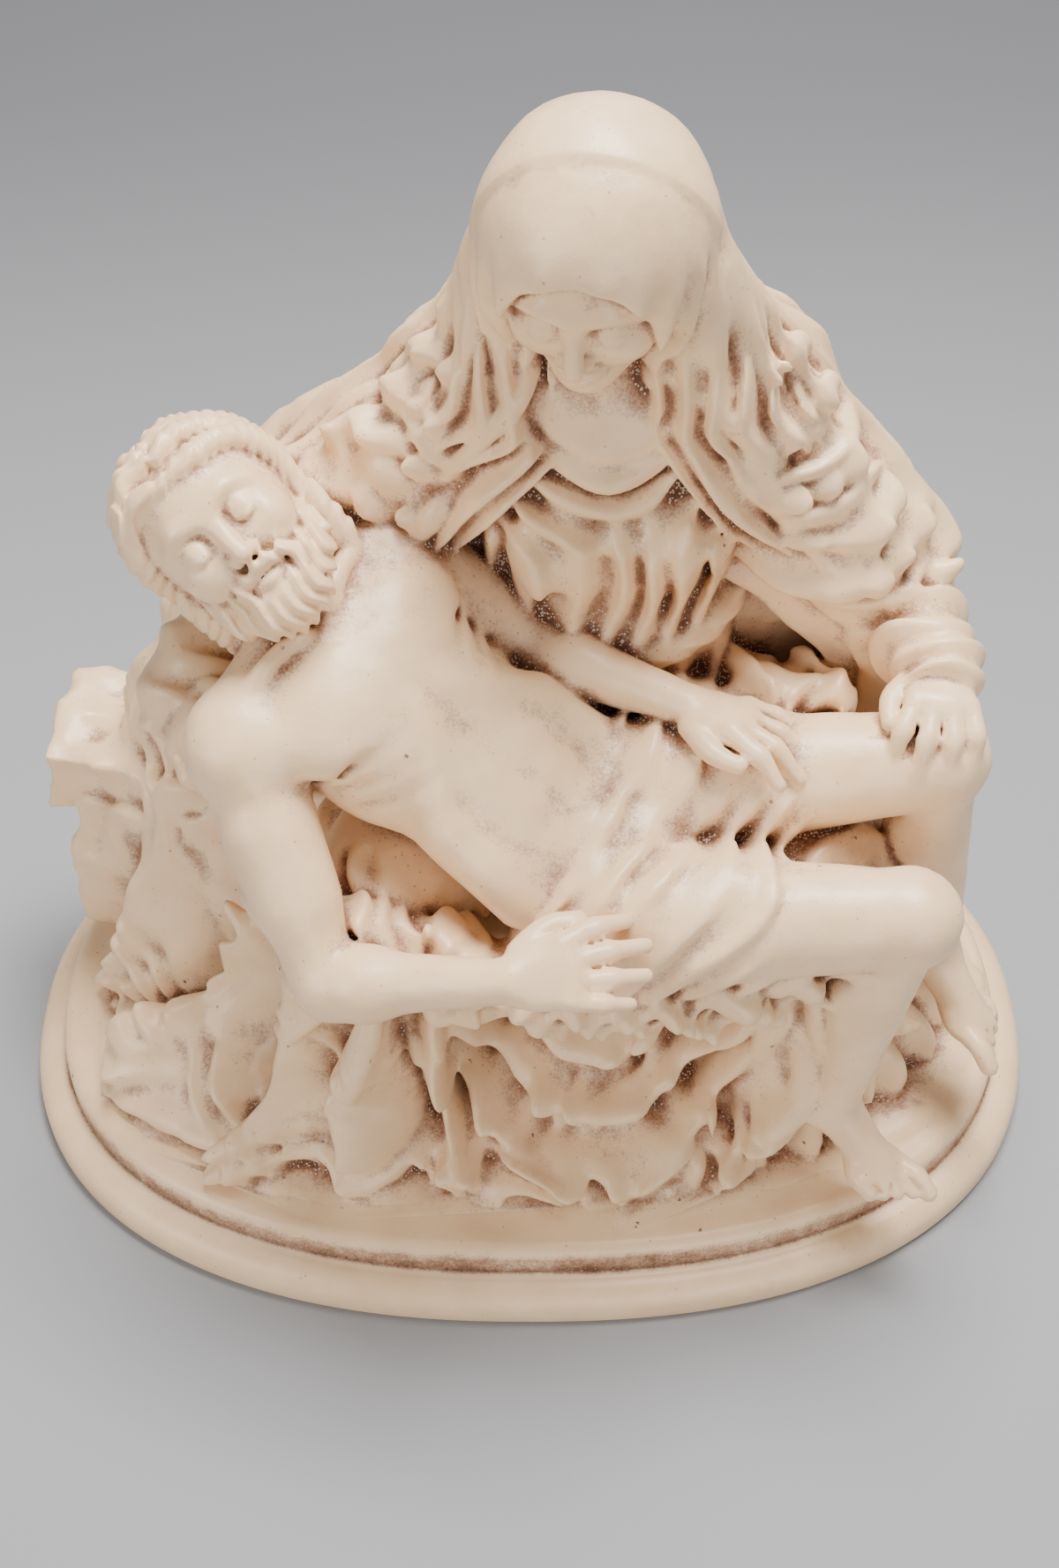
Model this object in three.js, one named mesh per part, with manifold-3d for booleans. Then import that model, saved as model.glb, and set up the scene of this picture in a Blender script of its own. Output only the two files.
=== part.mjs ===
// A pieta statuette: a seated, veiled woman holds a dead man across her lap, on an oval stepped plinth.
// It is one casting in marble resin. The plinth is a turned moulding drawn out to an oval. The group is built
// up from clay-like strokes in a grid of distances, which is then skinned, thinned and joined to the plinth.
import * as THREE from "three";
import { mergeVertices } from "three/addons/utils/BufferGeometryUtils.js";
import Module from "manifold-3d";

// Driving sizes, in millimetres. The origin is the middle of the plinth's underside, +Z up, the front at -Y.
const TOTAL_HEIGHT = 125;
const PLINTH_LENGTH = 122;
const PLINTH_DEPTH = 82;
const PLINTH_HEIGHT = 9;
const LOWER_TIER_HEIGHT = 5;
const LOWER_TIER_ROUNDING = 2.8;
const TIER_STEP = 1.1;
const UPPER_TIER_ROUNDING = 1.6;
const FOOT_CHAMFER = 0.7;
const OVAL_FULLNESS = 2.3; // 2 is an ellipse, more is fuller towards the corners
const PLINTH_SEGMENTS = 64;

// The group is laid out in units on a figure about this high above the plinth, then scaled to its height.
const GROUP_UNITS = 116;
const SUNK = 1.5; // how far the group's underside lies below the plinth's top, in units
const CELL = 0.95; // the grid's step, in units
const SKIN_TRIANGLES = 8000; // what the skin is thinned to
const LOCKS = 9; // of hair, on each side of the parting
const CURL_WIDTH = 2; // of the curls of the beard, in units

// Vectors are arrays of three numbers.
const plus = (a, b) => [a[0] + b[0], a[1] + b[1], a[2] + b[2]];
const minus = (a, b) => [a[0] - b[0], a[1] - b[1], a[2] - b[2]];
const times = (a, k) => [a[0] * k, a[1] * k, a[2] * k];
const dot = (a, b) => a[0] * b[0] + a[1] * b[1] + a[2] * b[2];
const cross = (a, b) => [
  a[1] * b[2] - a[2] * b[1],
  a[2] * b[0] - a[0] * b[2],
  a[0] * b[1] - a[1] * b[0],
];
const unit = (a) => times(a, 1 / Math.sqrt(dot(a, a)));
const mix = (a, b, t) => plus(times(a, 1 - t), times(b, t));

// A place to work in: an origin, where it faces, which way is up, and side = up x front.
function frame(origin, facing, upward) {
  const up = unit(upward);
  const front = unit(minus(facing, times(up, dot(facing, up))));
  const side = cross(up, front);
  const at = (s, f, u) =>
    plus(origin, plus(times(side, s), plus(times(front, f), times(up, u))));
  return { origin, side, front, up, at };
}
const WORLD = frame([0, 0, 0], [0, -1, 0], [0, 0, 1]);

// Shapes: each has a box, low to high, and a distance that is negative inside.
function around(points, reach) {
  const low = [0, 1, 2].map((i) => Math.min(...points.map((p) => p[i])) - reach);
  const high = [0, 1, 2].map((i) => Math.max(...points.map((p) => p[i])) + reach);
  return { low, high };
}

// A round limb from a to b, its radius going evenly from ra to rb.
function limb(a, b, ra, rb = ra) {
  const d = minus(b, a);
  const span = Math.max(dot(d, d), 1e-9);
  return {
    ...around([a, b], Math.max(ra, rb)),
    distance(x, y, z) {
      const px = x - a[0];
      const py = y - a[1];
      const pz = z - a[2];
      const t = Math.min(1, Math.max(0, (px * d[0] + py * d[1] + pz * d[2]) / span));
      return (
        Math.hypot(px - d[0] * t, py - d[1] * t, pz - d[2] * t) - (ra + (rb - ra) * t)
      );
    },
  };
}

const ball = (centre, radius) => limb(centre, centre, radius);

// An ellipsoid with half-axes along a frame's side, front and up.
function egg(centre, radii, axes = WORLD) {
  const [rs, rf, ru] = radii;
  const [s, f, u] = [times(axes.side, 1 / rs), times(axes.front, 1 / rf), times(axes.up, 1 / ru)];
  return {
    ...around([centre], Math.max(rs, rf, ru)),
    distance(x, y, z) {
      const px = x - centre[0];
      const py = y - centre[1];
      const pz = z - centre[2];
      const a = px * s[0] + py * s[1] + pz * s[2];
      const b = px * f[0] + py * f[1] + pz * f[2];
      const c = px * u[0] + py * u[1] + pz * u[2];
      const near = Math.sqrt(a * a + b * b + c * c);
      const slope = Math.hypot(a / rs, b / rf, c / ru);
      return slope < 1e-9 ? -Math.min(rs, rf, ru) : (near * (near - 1)) / slope;
    },
  };
}

// A block with rounded edges, its half-sizes along a frame's side, front and up.
function block(centre, halves, rounding, { side, front, up } = WORLD) {
  return {
    ...around([centre], Math.hypot(...halves)),
    distance(x, y, z) {
      const p = [x - centre[0], y - centre[1], z - centre[2]];
      const a = Math.abs(dot(p, side)) - halves[0] + rounding;
      const b = Math.abs(dot(p, front)) - halves[1] + rounding;
      const c = Math.abs(dot(p, up)) - halves[2] + rounding;
      const outside = Math.hypot(Math.max(a, 0), Math.max(b, 0), Math.max(c, 0));
      return outside + Math.min(Math.max(a, b, c), 0) - rounding;
    },
  };
}

// Points evenly along a smooth curve through a few points.
function along(points, count = 6 * (points.length - 1) + 1) {
  const curve = new THREE.CatmullRomCurve3(
    points.map((p) => new THREE.Vector3(...p)),
    false,
    "centripetal",
  );
  return Array.from({ length: count }, (_, i) => curve.getPoint(i / (count - 1)).toArray());
}

// A stroke of clay along a smooth curve: radii run from end to end, as evenly spaced values.
function stroke(points, radii) {
  const path = along(points);
  const radiusAt = (t) => {
    const place = t * (radii.length - 1);
    const i = Math.min(radii.length - 2, Math.floor(place));
    return radii.length === 1 ? radii[0] : radii[i] + (radii[i + 1] - radii[i]) * (place - i);
  };
  const last = path.length - 1;
  const parts = path
    .slice(1)
    .map((b, i) => limb(path[i], b, radiusAt(i / last), radiusAt((i + 1) / last)));
  return { ...around(path, Math.max(...radii)), parts };
}

// The grid of distances that the strokes build up.
const FAR = 9;
const REACH = 3; // how far round a shape the grid is kept up
const LOW = [-64, -44, -SUNK];
const HIGH = [64, 44, GROUP_UNITS + 4];
const SIZE = LOW.map((low, i) => Math.ceil((HIGH[i] - low) / CELL) + 3);
const place = (axis, i) => LOW[axis] + (i - 1) * CELL;
const index = (i, j, k) => (k * SIZE[1] + j) * SIZE[0] + i;
const emptyGrid = () => new Float32Array(SIZE[0] * SIZE[1] * SIZE[2]).fill(FAR);
let clay = emptyGrid();

function overBox(shape, reach, visit) {
  const first = shape.low.map((v, a) =>
    Math.max(0, Math.floor((v - reach - LOW[a]) / CELL) + 1),
  );
  const last = shape.high.map((v, a) =>
    Math.min(SIZE[a] - 1, Math.ceil((v + reach - LOW[a]) / CELL) + 1),
  );
  for (let k = first[2]; k <= last[2]; k++) {
    for (let j = first[1]; j <= last[1]; j++) {
      for (let i = first[0]; i <= last[0]; i++) {
        visit(index(i, j, k), place(0, i), place(1, j), place(2, k));
      }
    }
  }
}

const scratch = emptyGrid();

// Runs change(clay value, distance) wherever a shape reaches; a stroke's parts count as one shape.
function work(shape, blend, change) {
  const reach = REACH + blend;
  if (!shape.parts) {
    overBox(shape, reach, (n, x, y, z) => {
      clay[n] = change(clay[n], shape.distance(x, y, z));
    });
    return;
  }
  for (const part of shape.parts) {
    overBox(part, reach, (n, x, y, z) => {
      scratch[n] = Math.min(scratch[n], part.distance(x, y, z));
    });
  }
  overBox(shape, reach, (n) => {
    if (scratch[n] < FAR) clay[n] = change(clay[n], scratch[n]);
    scratch[n] = FAR;
  });
}

// Adds or cuts a shape, the join rounded over about the width of blend.
function softMin(a, b, blend) {
  const h = Math.max(blend - Math.abs(a - b), 0);
  return Math.min(a, b) - (blend > 0 ? (h * h) / (4 * blend) : 0);
}
const add = (shape, blend = 0) => work(shape, blend, (a, b) => softMin(a, b, blend));
const carve = (shape, blend = 0) => work(shape, blend, (a, b) => -softMin(-a, b, blend));

// Builds one layer apart from what is there, then lays it on, so that the two meet in a crease.
function layer(build, blend) {
  const below = clay;
  clay = emptyGrid();
  build();
  const above = clay;
  clay = below;
  above.forEach((v, n) => {
    if (v < FAR) clay[n] = softMin(clay[n], v, blend);
  });
}

// The clay's distance at any point, and the first surface met from a point along a direction.
function sample(p) {
  const g = p.map((v, a) => Math.min(SIZE[a] - 1.001, Math.max(0, (v - LOW[a]) / CELL + 1)));
  const [i, j, k] = g.map(Math.floor);
  const [u, v, w] = [g[0] - i, g[1] - j, g[2] - k];
  let sum = 0;
  for (let c = 0; c < 8; c++) {
    const [a, b, d] = [c & 1, (c >> 1) & 1, c >> 2];
    const share = (a ? u : 1 - u) * (b ? v : 1 - v) * (d ? w : 1 - w);
    if (share > 0) sum += share * clay[index(i + a, j + b, k + d)];
  }
  return sum;
}
function surface(from, direction, deepest = 90) {
  const way = unit(direction);
  const step = 0.4;
  for (let t = 0; t < deepest; t += step) {
    if (sample(plus(from, times(way, t))) < 0) return plus(from, times(way, t - step / 2));
  }
  return null;
}

// Lines drawn on the clay from one side. Each point of a line is carried onto the surface and sunk a bit.
const FRONT = (x, z) => [[x, -43, z], [0, 1, 0]];
const FRONT_ABOVE = (x, z) => [[x, -40, z + 27], [0, 0.83, -0.56]];

function onto(view, line, depth) {
  const smooth = along(line.map(([a, b]) => [a, b, 0]));
  return smooth
    .map(([a, b]) => {
      const [from, way] = view(a, b);
      const hit = surface(from, way);
      return hit && plus(hit, times(unit(way), depth));
    })
    .filter(Boolean);
}
function ridge(view, line, radii, depth = 0.3, blend = 1.6) {
  const path = onto(view, line, depth * Math.max(...radii));
  if (path.length > 1) add(stroke(thinOut(path), radii), blend);
}
const thinOut = (path) => path.filter((_, i) => i % 3 === 0 || i === path.length - 1);

// A steady sway for the things that a loop repeats, so that no two are quite alike.
const sway = (i, size = 1) => size * Math.sin(2.4 * i + 0.7);
const radians = (degrees) => (degrees * Math.PI) / 180;

const clamp = (t) => Math.min(1, Math.max(0, t));
const fade = (v, from, to) => {
  const t = clamp((v - from) / (to - from));
  return t * t * (3 - 2 * t);
};

// The height of a fold across its width: a broad crest that leans, and a narrower valley. A turn is a fold.
const TURN = 2 * Math.PI;
const crest = (phase) => {
  const leaning = phase + 0.4 * Math.sin(phase);
  return 1 - 2 * ((1 - Math.cos(leaning)) / 2) ** 1.5;
};

// A smooth uneven value, from about -1 to 1, that comes and goes over a distance of about a size.
function drift(x, y, z, size, seed = 0) {
  const k = TURN / size;
  const a = Math.sin(k * (0.8 * x + 0.5 * y + 0.33 * z) + seed);
  const b = Math.sin(k * (1.15 * y - 0.6 * x + 0.26 * z) + 2.1 * seed + 1.3);
  const c = Math.sin(k * (0.76 * z + 0.24 * x - 0.32 * y) + 0.7 * seed + 4);
  return (a + b + c) / 2;
}

// Raises or sinks the whole surface of the clay by a height that depends on the place.
function drape(height) {
  overBox({ low: LOW, high: HIGH }, 0, (n, x, y, z) => {
    if (clay[n] < FAR) clay[n] -= height(x, y, z);
  });
}

// Cuts away what lies where a height is above zero.
function trim(above) {
  overBox({ low: LOW, high: HIGH }, 0, (n, x, y, z) => {
    if (clay[n] < FAR) clay[n] = Math.max(clay[n], above(x, y, z));
  });
}

// The ground and the rock she sits on, which shows at the left as a ledge and at the foot of the back.
function groundAndRock() {
  const rocks = [
    [[6, 13, 12], [30, 13, 15], [0.1, -1, 0]],
    [[-30, 13, 14], [13, 12, 15], [-0.35, -1, 0.1]],
    [[-47, 13, 29], [9, 8, 5], [-0.15, -1, -0.1]],
    [[-43, 12, 16], [9, 10, 12], [-0.4, -1, 0.1]],
    [[36, 12, 10], [12, 12, 12], [0.4, -1, 0.1]],
  ];
  for (const [centre, halves, facing] of rocks) {
    add(block(centre, halves, 1.2, frame(centre, facing, [0.08, 0, 1])), 0.8);
  }
  drape((x, y, z) => {
    const facets = 1.5 * Math.abs(drift(x, y, z, 23, 3)) + 0.6 * Math.abs(drift(x, y, z, 10, 7));
    return 0.9 - facets;
  });
  for (const [x, y, rx, ry] of [
    [2, 0, 52, 33],
    [-22, -4, 32, 27],
    [28, -2, 28, 26],
  ]) {
    add(egg([x, y, -1.2], [rx, ry, 3.4]), 3);
  }
}

// Her body under the gown, seated with the knees apart to make a lap. Right and left are her own.
const HER = {
  hips: [8, 14, 37],
  chest: [8, 10, 70],
  rightShoulder: [-7, 10, 80],
  leftShoulder: [23, 10.5, 80],
  rightElbow: [-28, 11, 60],
  leftElbow: [38, 8, 57],
  rightWrist: [-36, -4, 55],
  leftWrist: [42, -3, 58.5],
  rightKnee: [-15, -14, 37],
  leftKnee: [29, -12, 35],
  head: frame([5.5, 2.5, 103], [-0.2, -0.92, -0.32], [-0.07, -0.31, 0.95]),
};

// Her gown above the girdle: a cowl neck, gathers over the breast, and the girdle's roll.
function gown() {
  add(egg(HER.hips, [19, 14, 13]), 4);
  add(egg([8, 11, 54], [14.5, 12, 16]), 5);
  add(egg(HER.chest, [14.5, 10, 13]), 5);
  for (const s of [-1, 1]) add(ball([8 + 5.6 * s, 2.8, 70], 4.6), 4);
  add(limb([-6, 10.5, 80], [22, 11, 80], 6.4), 5);
  drape((x, y, z) => {
    const across = x - 8;
    const hang = z - 0.05 * across * across;
    const cowl = 0.8 * crest((TURN * hang) / 4.5 + 1.5 * drift(x, y, z, 17, 2));
    const width = 3.3 + 0.055 * (z - 58);
    const gathers = 0.75 * crest((TURN * across) / width + 1.9 * drift(x, y, z, 15, 5));
    const high = fade(z, 69, 77);
    const low = fade(z, 55, 63) * (1 - high);
    const below = 0.9 * crest((TURN * across) / 4 + 1.6 * drift(x, y, z, 14, 6)) * fade(z, 57, 52);
    const folds = fade(y, 9, 3) * (gathers * low + cowl * high * fade(z, 91, 86) + below);
    const girdle = Math.exp(-(((z - 57 - 0.012 * across * across) / 1.4) ** 4));
    return folds * (1 - girdle) + 1.5 * girdle;
  });
  add(limb([7.6, 9, 83], [6.2, 5, 95], 4.5, 4.3), 2);
  add(stroke([[-3, 8, 90], [7.6, 6.5, 83.5], [18, 8, 90]], [4, 5.5, 4]), 2);
  for (const [drop, radius] of [[0, 0.8], [3.2, 1.2]]) {
    const neckline = [
      [-2, 6, 89 - 0.6 * drop],
      [2.5, 2.9, 84.6 - drop],
      [7.6, 1.6 - 0.2 * drop, 82.6 - drop],
      [12.7, 2.9, 84.6 - drop],
      [17, 6, 89 - 0.6 * drop],
    ];
    add(stroke(neckline, [0.8, radius, radius, radius, 0.8]), 1.2);
  }
  sleeve(HER.rightShoulder, HER.rightElbow, 7.2, 6.2, 4);
  sleeve(HER.rightElbow, HER.rightWrist, 6.4, 4.6, 3);
  sleeve(HER.leftShoulder, HER.leftElbow, 7.2, 6.4, 5);
  sleeve(HER.leftElbow, HER.leftWrist, 6.4, 4.4, 4);
}

// A sleeve: a round limb whose cloth lies in slanting rings, pushed up unevenly.
function sleeve(a, b, ra, rb, count) {
  const bare = limb(a, b, ra, rb);
  const round = frame(a, cross(minus(b, a), [0.3, 0.5, 1]), minus(b, a));
  const long = Math.sqrt(dot(minus(b, a), minus(b, a)));
  add(
    {
      ...bare,
      distance(x, y, z) {
        const p = [x - a[0], y - a[1], z - a[2]];
        const t = dot(p, round.up) / long;
        const turn = Math.atan2(dot(p, round.side), dot(p, round.front));
        const phase = TURN * count * t + 1.9 * Math.sin(turn + 0.6) + 2 * drift(x, y, z, 13, count);
        const push = (0.65 + 0.4 * drift(x, y, z, 10, 2 * count)) * (1 - 0.45 * fade(t, 0.5, 0.9));
        return bare.distance(x, y, z) - push * crest(phase) * fade(t, -0.1, 0.1);
      },
    },
    2,
  );
}

// Her lap, shins and the spread of cloth on the ground, as a smooth form to drape. Extra makes it fuller.
function lapForm(extra) {
  const { rightKnee, leftKnee } = HER;
  add(limb([-2, 13, 35], rightKnee, 12 + extra, 8.4 + extra), 5);
  add(limb([18, 13, 34], leftKnee, 12 + extra, 8.4 + extra), 5);
  add(limb(rightKnee, [-19, -19, 4], 8.4 + extra, 9 + extra), 4);
  add(limb(leftKnee, [30, -16, 4], 8.4 + extra, 9 + extra), 4);
  add(limb([8, 0, 34], [7, -11, 3], 12 + extra, 15 + extra), 5);
  add(egg([8, -4, 45], [12 + extra, 13, 6.5]), 4);
  add(egg([4, -7, 1], [41 + extra, 23 + extra, 7 + extra]), 4);
  add(egg([-29, -5, 2], [21 + extra, 22 + extra, 10 + extra]), 4);
  add(egg([-27, 2, 18], [12 + extra, 12 + extra, 19]), 5);
  add(egg([35, 0, 3], [16 + extra, 19 + extra, 11 + extra]), 4);
  add(egg([35, 4, 20], [11 + extra, 13 + extra, 19]), 5);
}

// The angle round the hem's oval, seen from above: 0 is the viewer's right, a quarter turn back is the front.
const roundHem = (x, y) => Math.atan2((y - 2) / 32, (x - 3) / 49);

// The gown's skirt, in narrow pleats down to the ground.
function underskirt() {
  lapForm(-0.8);
  drape((x, y, z) => {
    const phase = 40 * roundHem(x, y) + 1.4 * drift(x, y, z, 26, 3);
    const pleat = (1.1 + 0.4 * drift(x, y, z, 17, 8)) * crest(phase) * fade(z, 40, 24);
    return (pleat + 1.6) * fade(x, 8, 20) - 1.6;
  });
}

// The mantle over her lap: broad folds that fall from each knee, swags between them, cloth that breaks where
// it meets the ground, and a hem that rises towards her left knee.
function overskirt() {
  lapForm(1);
  drape((x, y, z) => {
    const leftTurn = Math.atan2(y + 9, x + 10);
    const rightTurn = Math.atan2(y + 6, x - 26);
    const wander = 1.7 * drift(x, y, z, 38, 2) + 0.7 * drift(x, y, z, 18, 5);
    const left = crest(13 * leftTurn + 0.05 * z + wander);
    const right = crest(12 * rightTurn - 0.05 * z + wander);
    const side = fade(x, 2, 14);
    const pleats = left * (1 - side) + right * side;
    const across = (x - 7.5) / 18;
    const hang = z + 12 * (1 - across * across);
    const swags = crest((TURN * hang) / 7.6 + 0.9 * drift(x, y, z, 20, 7));
    const between = fade(Math.abs(across), 1.05, 0.7) * fade(y, -4, -10) * fade(z, 1, 8) * fade(z, 39, 32);
    const hanging = fade(z, 42, 31) * (1 - between);
    const standing = 0.5 + 0.5 * fade(z, 0, 13);
    const deep = (2 + 0.8 * fade(x, 0, -30) + 0.5 * drift(x, y, z, 24, 6)) * standing;
    const pooled = crest((TURN * (z + 0.12 * y)) / 4.6 + 1.5 * pleats + 1.8 * drift(x, y, z, 19, 4));
    const small = 0.4 * crest(31 * roundHem(x, y) + 2.6 * drift(x, y, z, 19, 11)) * fade(z, 44, 34);
    return deep * pleats * hanging + 2 * swags * between + small + 0.75 * pooled * fade(z, 10, 4);
  });
  trim((x, y, z) => {
    const hem = 16 * fade(x, 8, 44) - 5 + 1.2 * drift(x, y, 0, 16, 3) - 8 * fade(y, 0, 20);
    return (hem - z) * 0.8;
  });
  kneeFan(HER.rightKnee, -1);
  kneeFan(HER.leftKnee, 1);
}

// Short folds that spread over the top of a knee from where the cloth is pulled tight.
function kneeFan([x, , z], outward) {
  for (let i = 0; i < 5; i++) {
    const turn = radians(-90 + outward * (-34 + 24 * i));
    const out = (r) => [x + r * Math.cos(turn), z + r * Math.sin(turn)];
    ridge(FRONT, [out(3), out(10), out(18)], [0.8, 1.7, 1], 0.1, 1.4);
  }
}

// The mantle: from the head over the shoulders and upper arms and down the back to the ground, with a rolled
// edge down each side of the breast. It also falls off her right arm.
function mantle() {
  const h = HER.head;
  for (const s of [-1, 1]) {
    add(limb(h.at(6.5 * s, -3, -4), [8 + 12 * s, 11, 85], 6, 6.6), 3);
    add(limb([8 + 12 * s, 14, 82], [8 + 19 * s, 19, 42], 8, 10), 5);
    add(limb([8 + 19 * s, 19, 42], [8 + 23 * s, 17, 4], 10, 13), 5);
  }
  add(limb([-5, 11, 81.5], [-23, 12.5, 66], 7.6, 9.4), 4);
  add(limb([21, 11, 81.5], [34.5, 10, 62.5], 7.6, 9), 4);
  add(limb([7, 12, 94], [8, 16, 72], 8, 11), 5);
  add(limb([8, 16, 72], [8, 20, 6], 11, 14), 5);
  add(limb([-29, 11, 56], [-37, 9, 36], 7.5, 7), 4);
  add(limb([-37, 9, 38], [-39, 2, 8], 7, 11), 4);
  add(limb([38, 9, 56], [40, 8, 8], 6, 10), 4);
  drape((x, y, z) => {
    const turn = Math.atan2(y - 12 + 8 * fade(z, 80, 50), x - 7.5);
    const wander = 1.5 * drift(x, y, z, 34, 1) + 0.6 * drift(x, y, z, 15, 4);
    const broad = crest(21 * turn + wander) * (0.75 + 1.5 * fade(z, 90, 35));
    const small = 0.4 * crest(47 * turn + 2.4 * drift(x, y, z, 21, 9));
    const out = Math.abs(x - 8);
    const onArm = fade(out, 13, 18) * fade(y, 13, 7);
    const slung = crest((TURN * (0.95 * z - 0.3 * out)) / 6.2 + 1.6 * drift(x, y, z, 22, 6));
    const overArm = 0.85 * slung * onArm * fade(z, 60, 65);
    return (broad * (1 - 0.5 * onArm) + small + overArm) * fade(z, 100, 88);
  });
  for (const s of [-1, 1]) {
    const edge = [[8 + 9.5 * s, 91], [8 + 13 * s, 83], [8 + 18 * s, 75], [8 + 25 * s, 65]];
    ridge(FRONT_ABOVE, edge, [0.9, 1.5, 1.4, 0.4], 0.2, 0.7);
  }
  carve(stroke([[-37, -4, 46], [-42, -9, 30], [-37, -15, 13]], [1.6, 2.8, 1.8]), 1);
}

// A head in its own frame: the origin lies mid-height, 10.3 above the chin and 10.3 below the crown.
function head(h, size = 1) {
  const at = (s, f, u) => h.at(s * size, f * size, u * size);
  const r = (...radii) => radii.map((v) => v * size);
  add(egg(at(0, -1.2, 2.2), r(7.9, 9.2, 8.2), h), 1);
  add(egg(at(0, 1.2, -2.6), r(6.4, 6.7, 7.8), h), 2.5);
  add(ball(at(0, 5.4, -8.4), 2 * size), 1.6);
  for (const s of [-1, 1]) {
    add(limb(at(5 * s, -0.5, -5), at(1 * s, 4.8, -8.4), 2.3 * size, 1.9 * size), 1.6);
    add(ball(at(3.9 * s, 5.1, -2.4), 2.5 * size), 1.8);
    carve(ball(at(3.1 * s, 9, 0.2), 1.9 * size), 1.3);
    add(stroke([at(0.9 * s, 7.5, 1.8), at(3.2 * s, 7.4, 2.5), at(5.3 * s, 5.9, 1.5)], r(0.8, 0.8, 0.6)), 1.2);
    add(ball(at(3.05 * s, 6.5, -0.1), 1.6 * size), 0.4);
  }
  add(limb(at(0, 7.5, 1.4), at(0, 9.2, -3.3), 0.75 * size, size), 0.9);
  for (const s of [-1, 1]) add(ball(at(1.05 * s, 8.2, -3.6), 0.72 * size), 0.4);
  const upperLip = [at(-2, 7.1, -6), at(-0.6, 7.9, -5.6), at(0.6, 7.9, -5.6), at(2, 7.1, -6)];
  add(stroke(upperLip, r(0.4, 0.55, 0.55, 0.4)), 0.4);
  add(stroke([at(-1.6, 7.1, -6.8), at(0, 7.8, -7), at(1.6, 7.1, -6.8)], r(0.45, 0.7, 0.45)), 0.4);
}

// Her veil: a hood with a rolled rim, and a second edge behind it, its folds falling to the shoulders.
function veil() {
  const h = HER.head;
  add(egg(h.at(0, -1.8, 1.4), [10.6, 11.6, 11.4], h), 3);
  add(egg(h.at(0, -4, -5), [10.8, 8.5, 9], h), 3);
  for (const s of [-1, 1]) {
    add(limb(h.at(7.6 * s, -2, -5), [8 + 9 * s, 6, 87], 4, 5), 3);
    add(limb([8 + 9 * s, 6, 87], [8 + 15 * s, 8, 82], 5, 5), 3);
  }
  for (const s of [-1, 1]) {
    const middle = 7.5 + 6.8 * s;
    const inner = [[middle, 4.5, 92], [middle, 3.6, 85], [7.5 + 12 * s, 3, 77], [7.5 + 18 * s, 5, 68]];
    add(stroke(inner, [2.4, 2.6, 2.6, 1.4]), 2);
  }
  drape((x, y, z) => {
    const turn = Math.atan2(y - 5, x - 6);
    const falling = 0.8 * crest(19 * turn + 1.6 * drift(x, y, z, 24, 3)) * fade(z, 109, 97);
    const out = Math.abs(x - 7.5) - 6.8;
    const spread = fade(z, 88, 82);
    const run = out * (1 - 0.18 * spread) + 0.57 * (z - 85) * spread;
    const hanging = 0.75 * crest((TURN * run) / 2.7 + 1.4 * drift(x, y, z, 13, 7));
    const inFront = fade(y, 8, 5) * fade(z, 97, 91);
    const behind = (x - 6) * 0.1 + (y + 1) * 0.8 + (z - 112) * 0.45 + 0.8 * drift(x, y, z, 30, 2);
    const doubled = 0.45 * fade(behind, -0.5, 0.5) + 0.15 * drift(x, y, z, 12, 4);
    return falling * (1 - inFront) + hanging * inFront + doubled;
  });
  carve(egg(h.at(0, 10.5, -3.6), [7.4, 11.5, 10.2], h), 0.8);
  carve(egg(h.at(0, 9, -12), [6.6, 9, 8], h), 0.8);
  for (const [deep, radius] of [[0, 1.25], [-2.6, 0.8]]) {
    const rim = Array.from({ length: 9 }, (_, i) => {
      const turn = ((i - 4) / 4) * 2.35;
      const out = 8.1 - 0.55 * deep;
      const forward = 3 + 2.2 * Math.cos(turn) + deep + sway(i, 0.25);
      return h.at(out * Math.sin(turn), forward, -3 + (out + 2) * Math.cos(turn));
    });
    const right = [[-10, 4.5, 76], [-4.5, 1.6, 84], [-1, 1.5, 89]];
    const left = [[16.5, 1.5, 89], [20.5, 1.6, 84], [26, 4.5, 76]];
    add(stroke([...right, ...rim, ...left], [0.6 * radius, radius, radius, radius, 0.6 * radius]), 0.7);
  }
}

// The man: laid across her lap, the shoulders raised in the bend of her right arm, the head fallen back.
const HIS = {
  torso: frame([8, -17, 44], [0.36, -0.51, 0.76], [-0.785, 0.31, 0.555]),
  head: frame([-29.5, -1, 75.5], [0.1, -0.78, 0.6], [-0.72, 0.4, 0.56]),
  nearHip: [8, -23, 42],
  farHip: [12, -9, 47],
  nearKnee: [37.5, -25, 45],
  farKnee: [41.5, -10, 52],
  nearAnkle: [34, -25, 12],
  farAnkle: [46.5, -9, 19],
  nearElbow: [-20, -31, 42],
  nearWrist: [-2, -35, 48],
  farElbow: [1, 1, 57],
  farWrist: [16, -7, 57],
};
HIS.nearShoulder = HIS.torso.at(-13.3, -1, 37);
HIS.farShoulder = HIS.torso.at(13.3, -1, 37);

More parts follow.
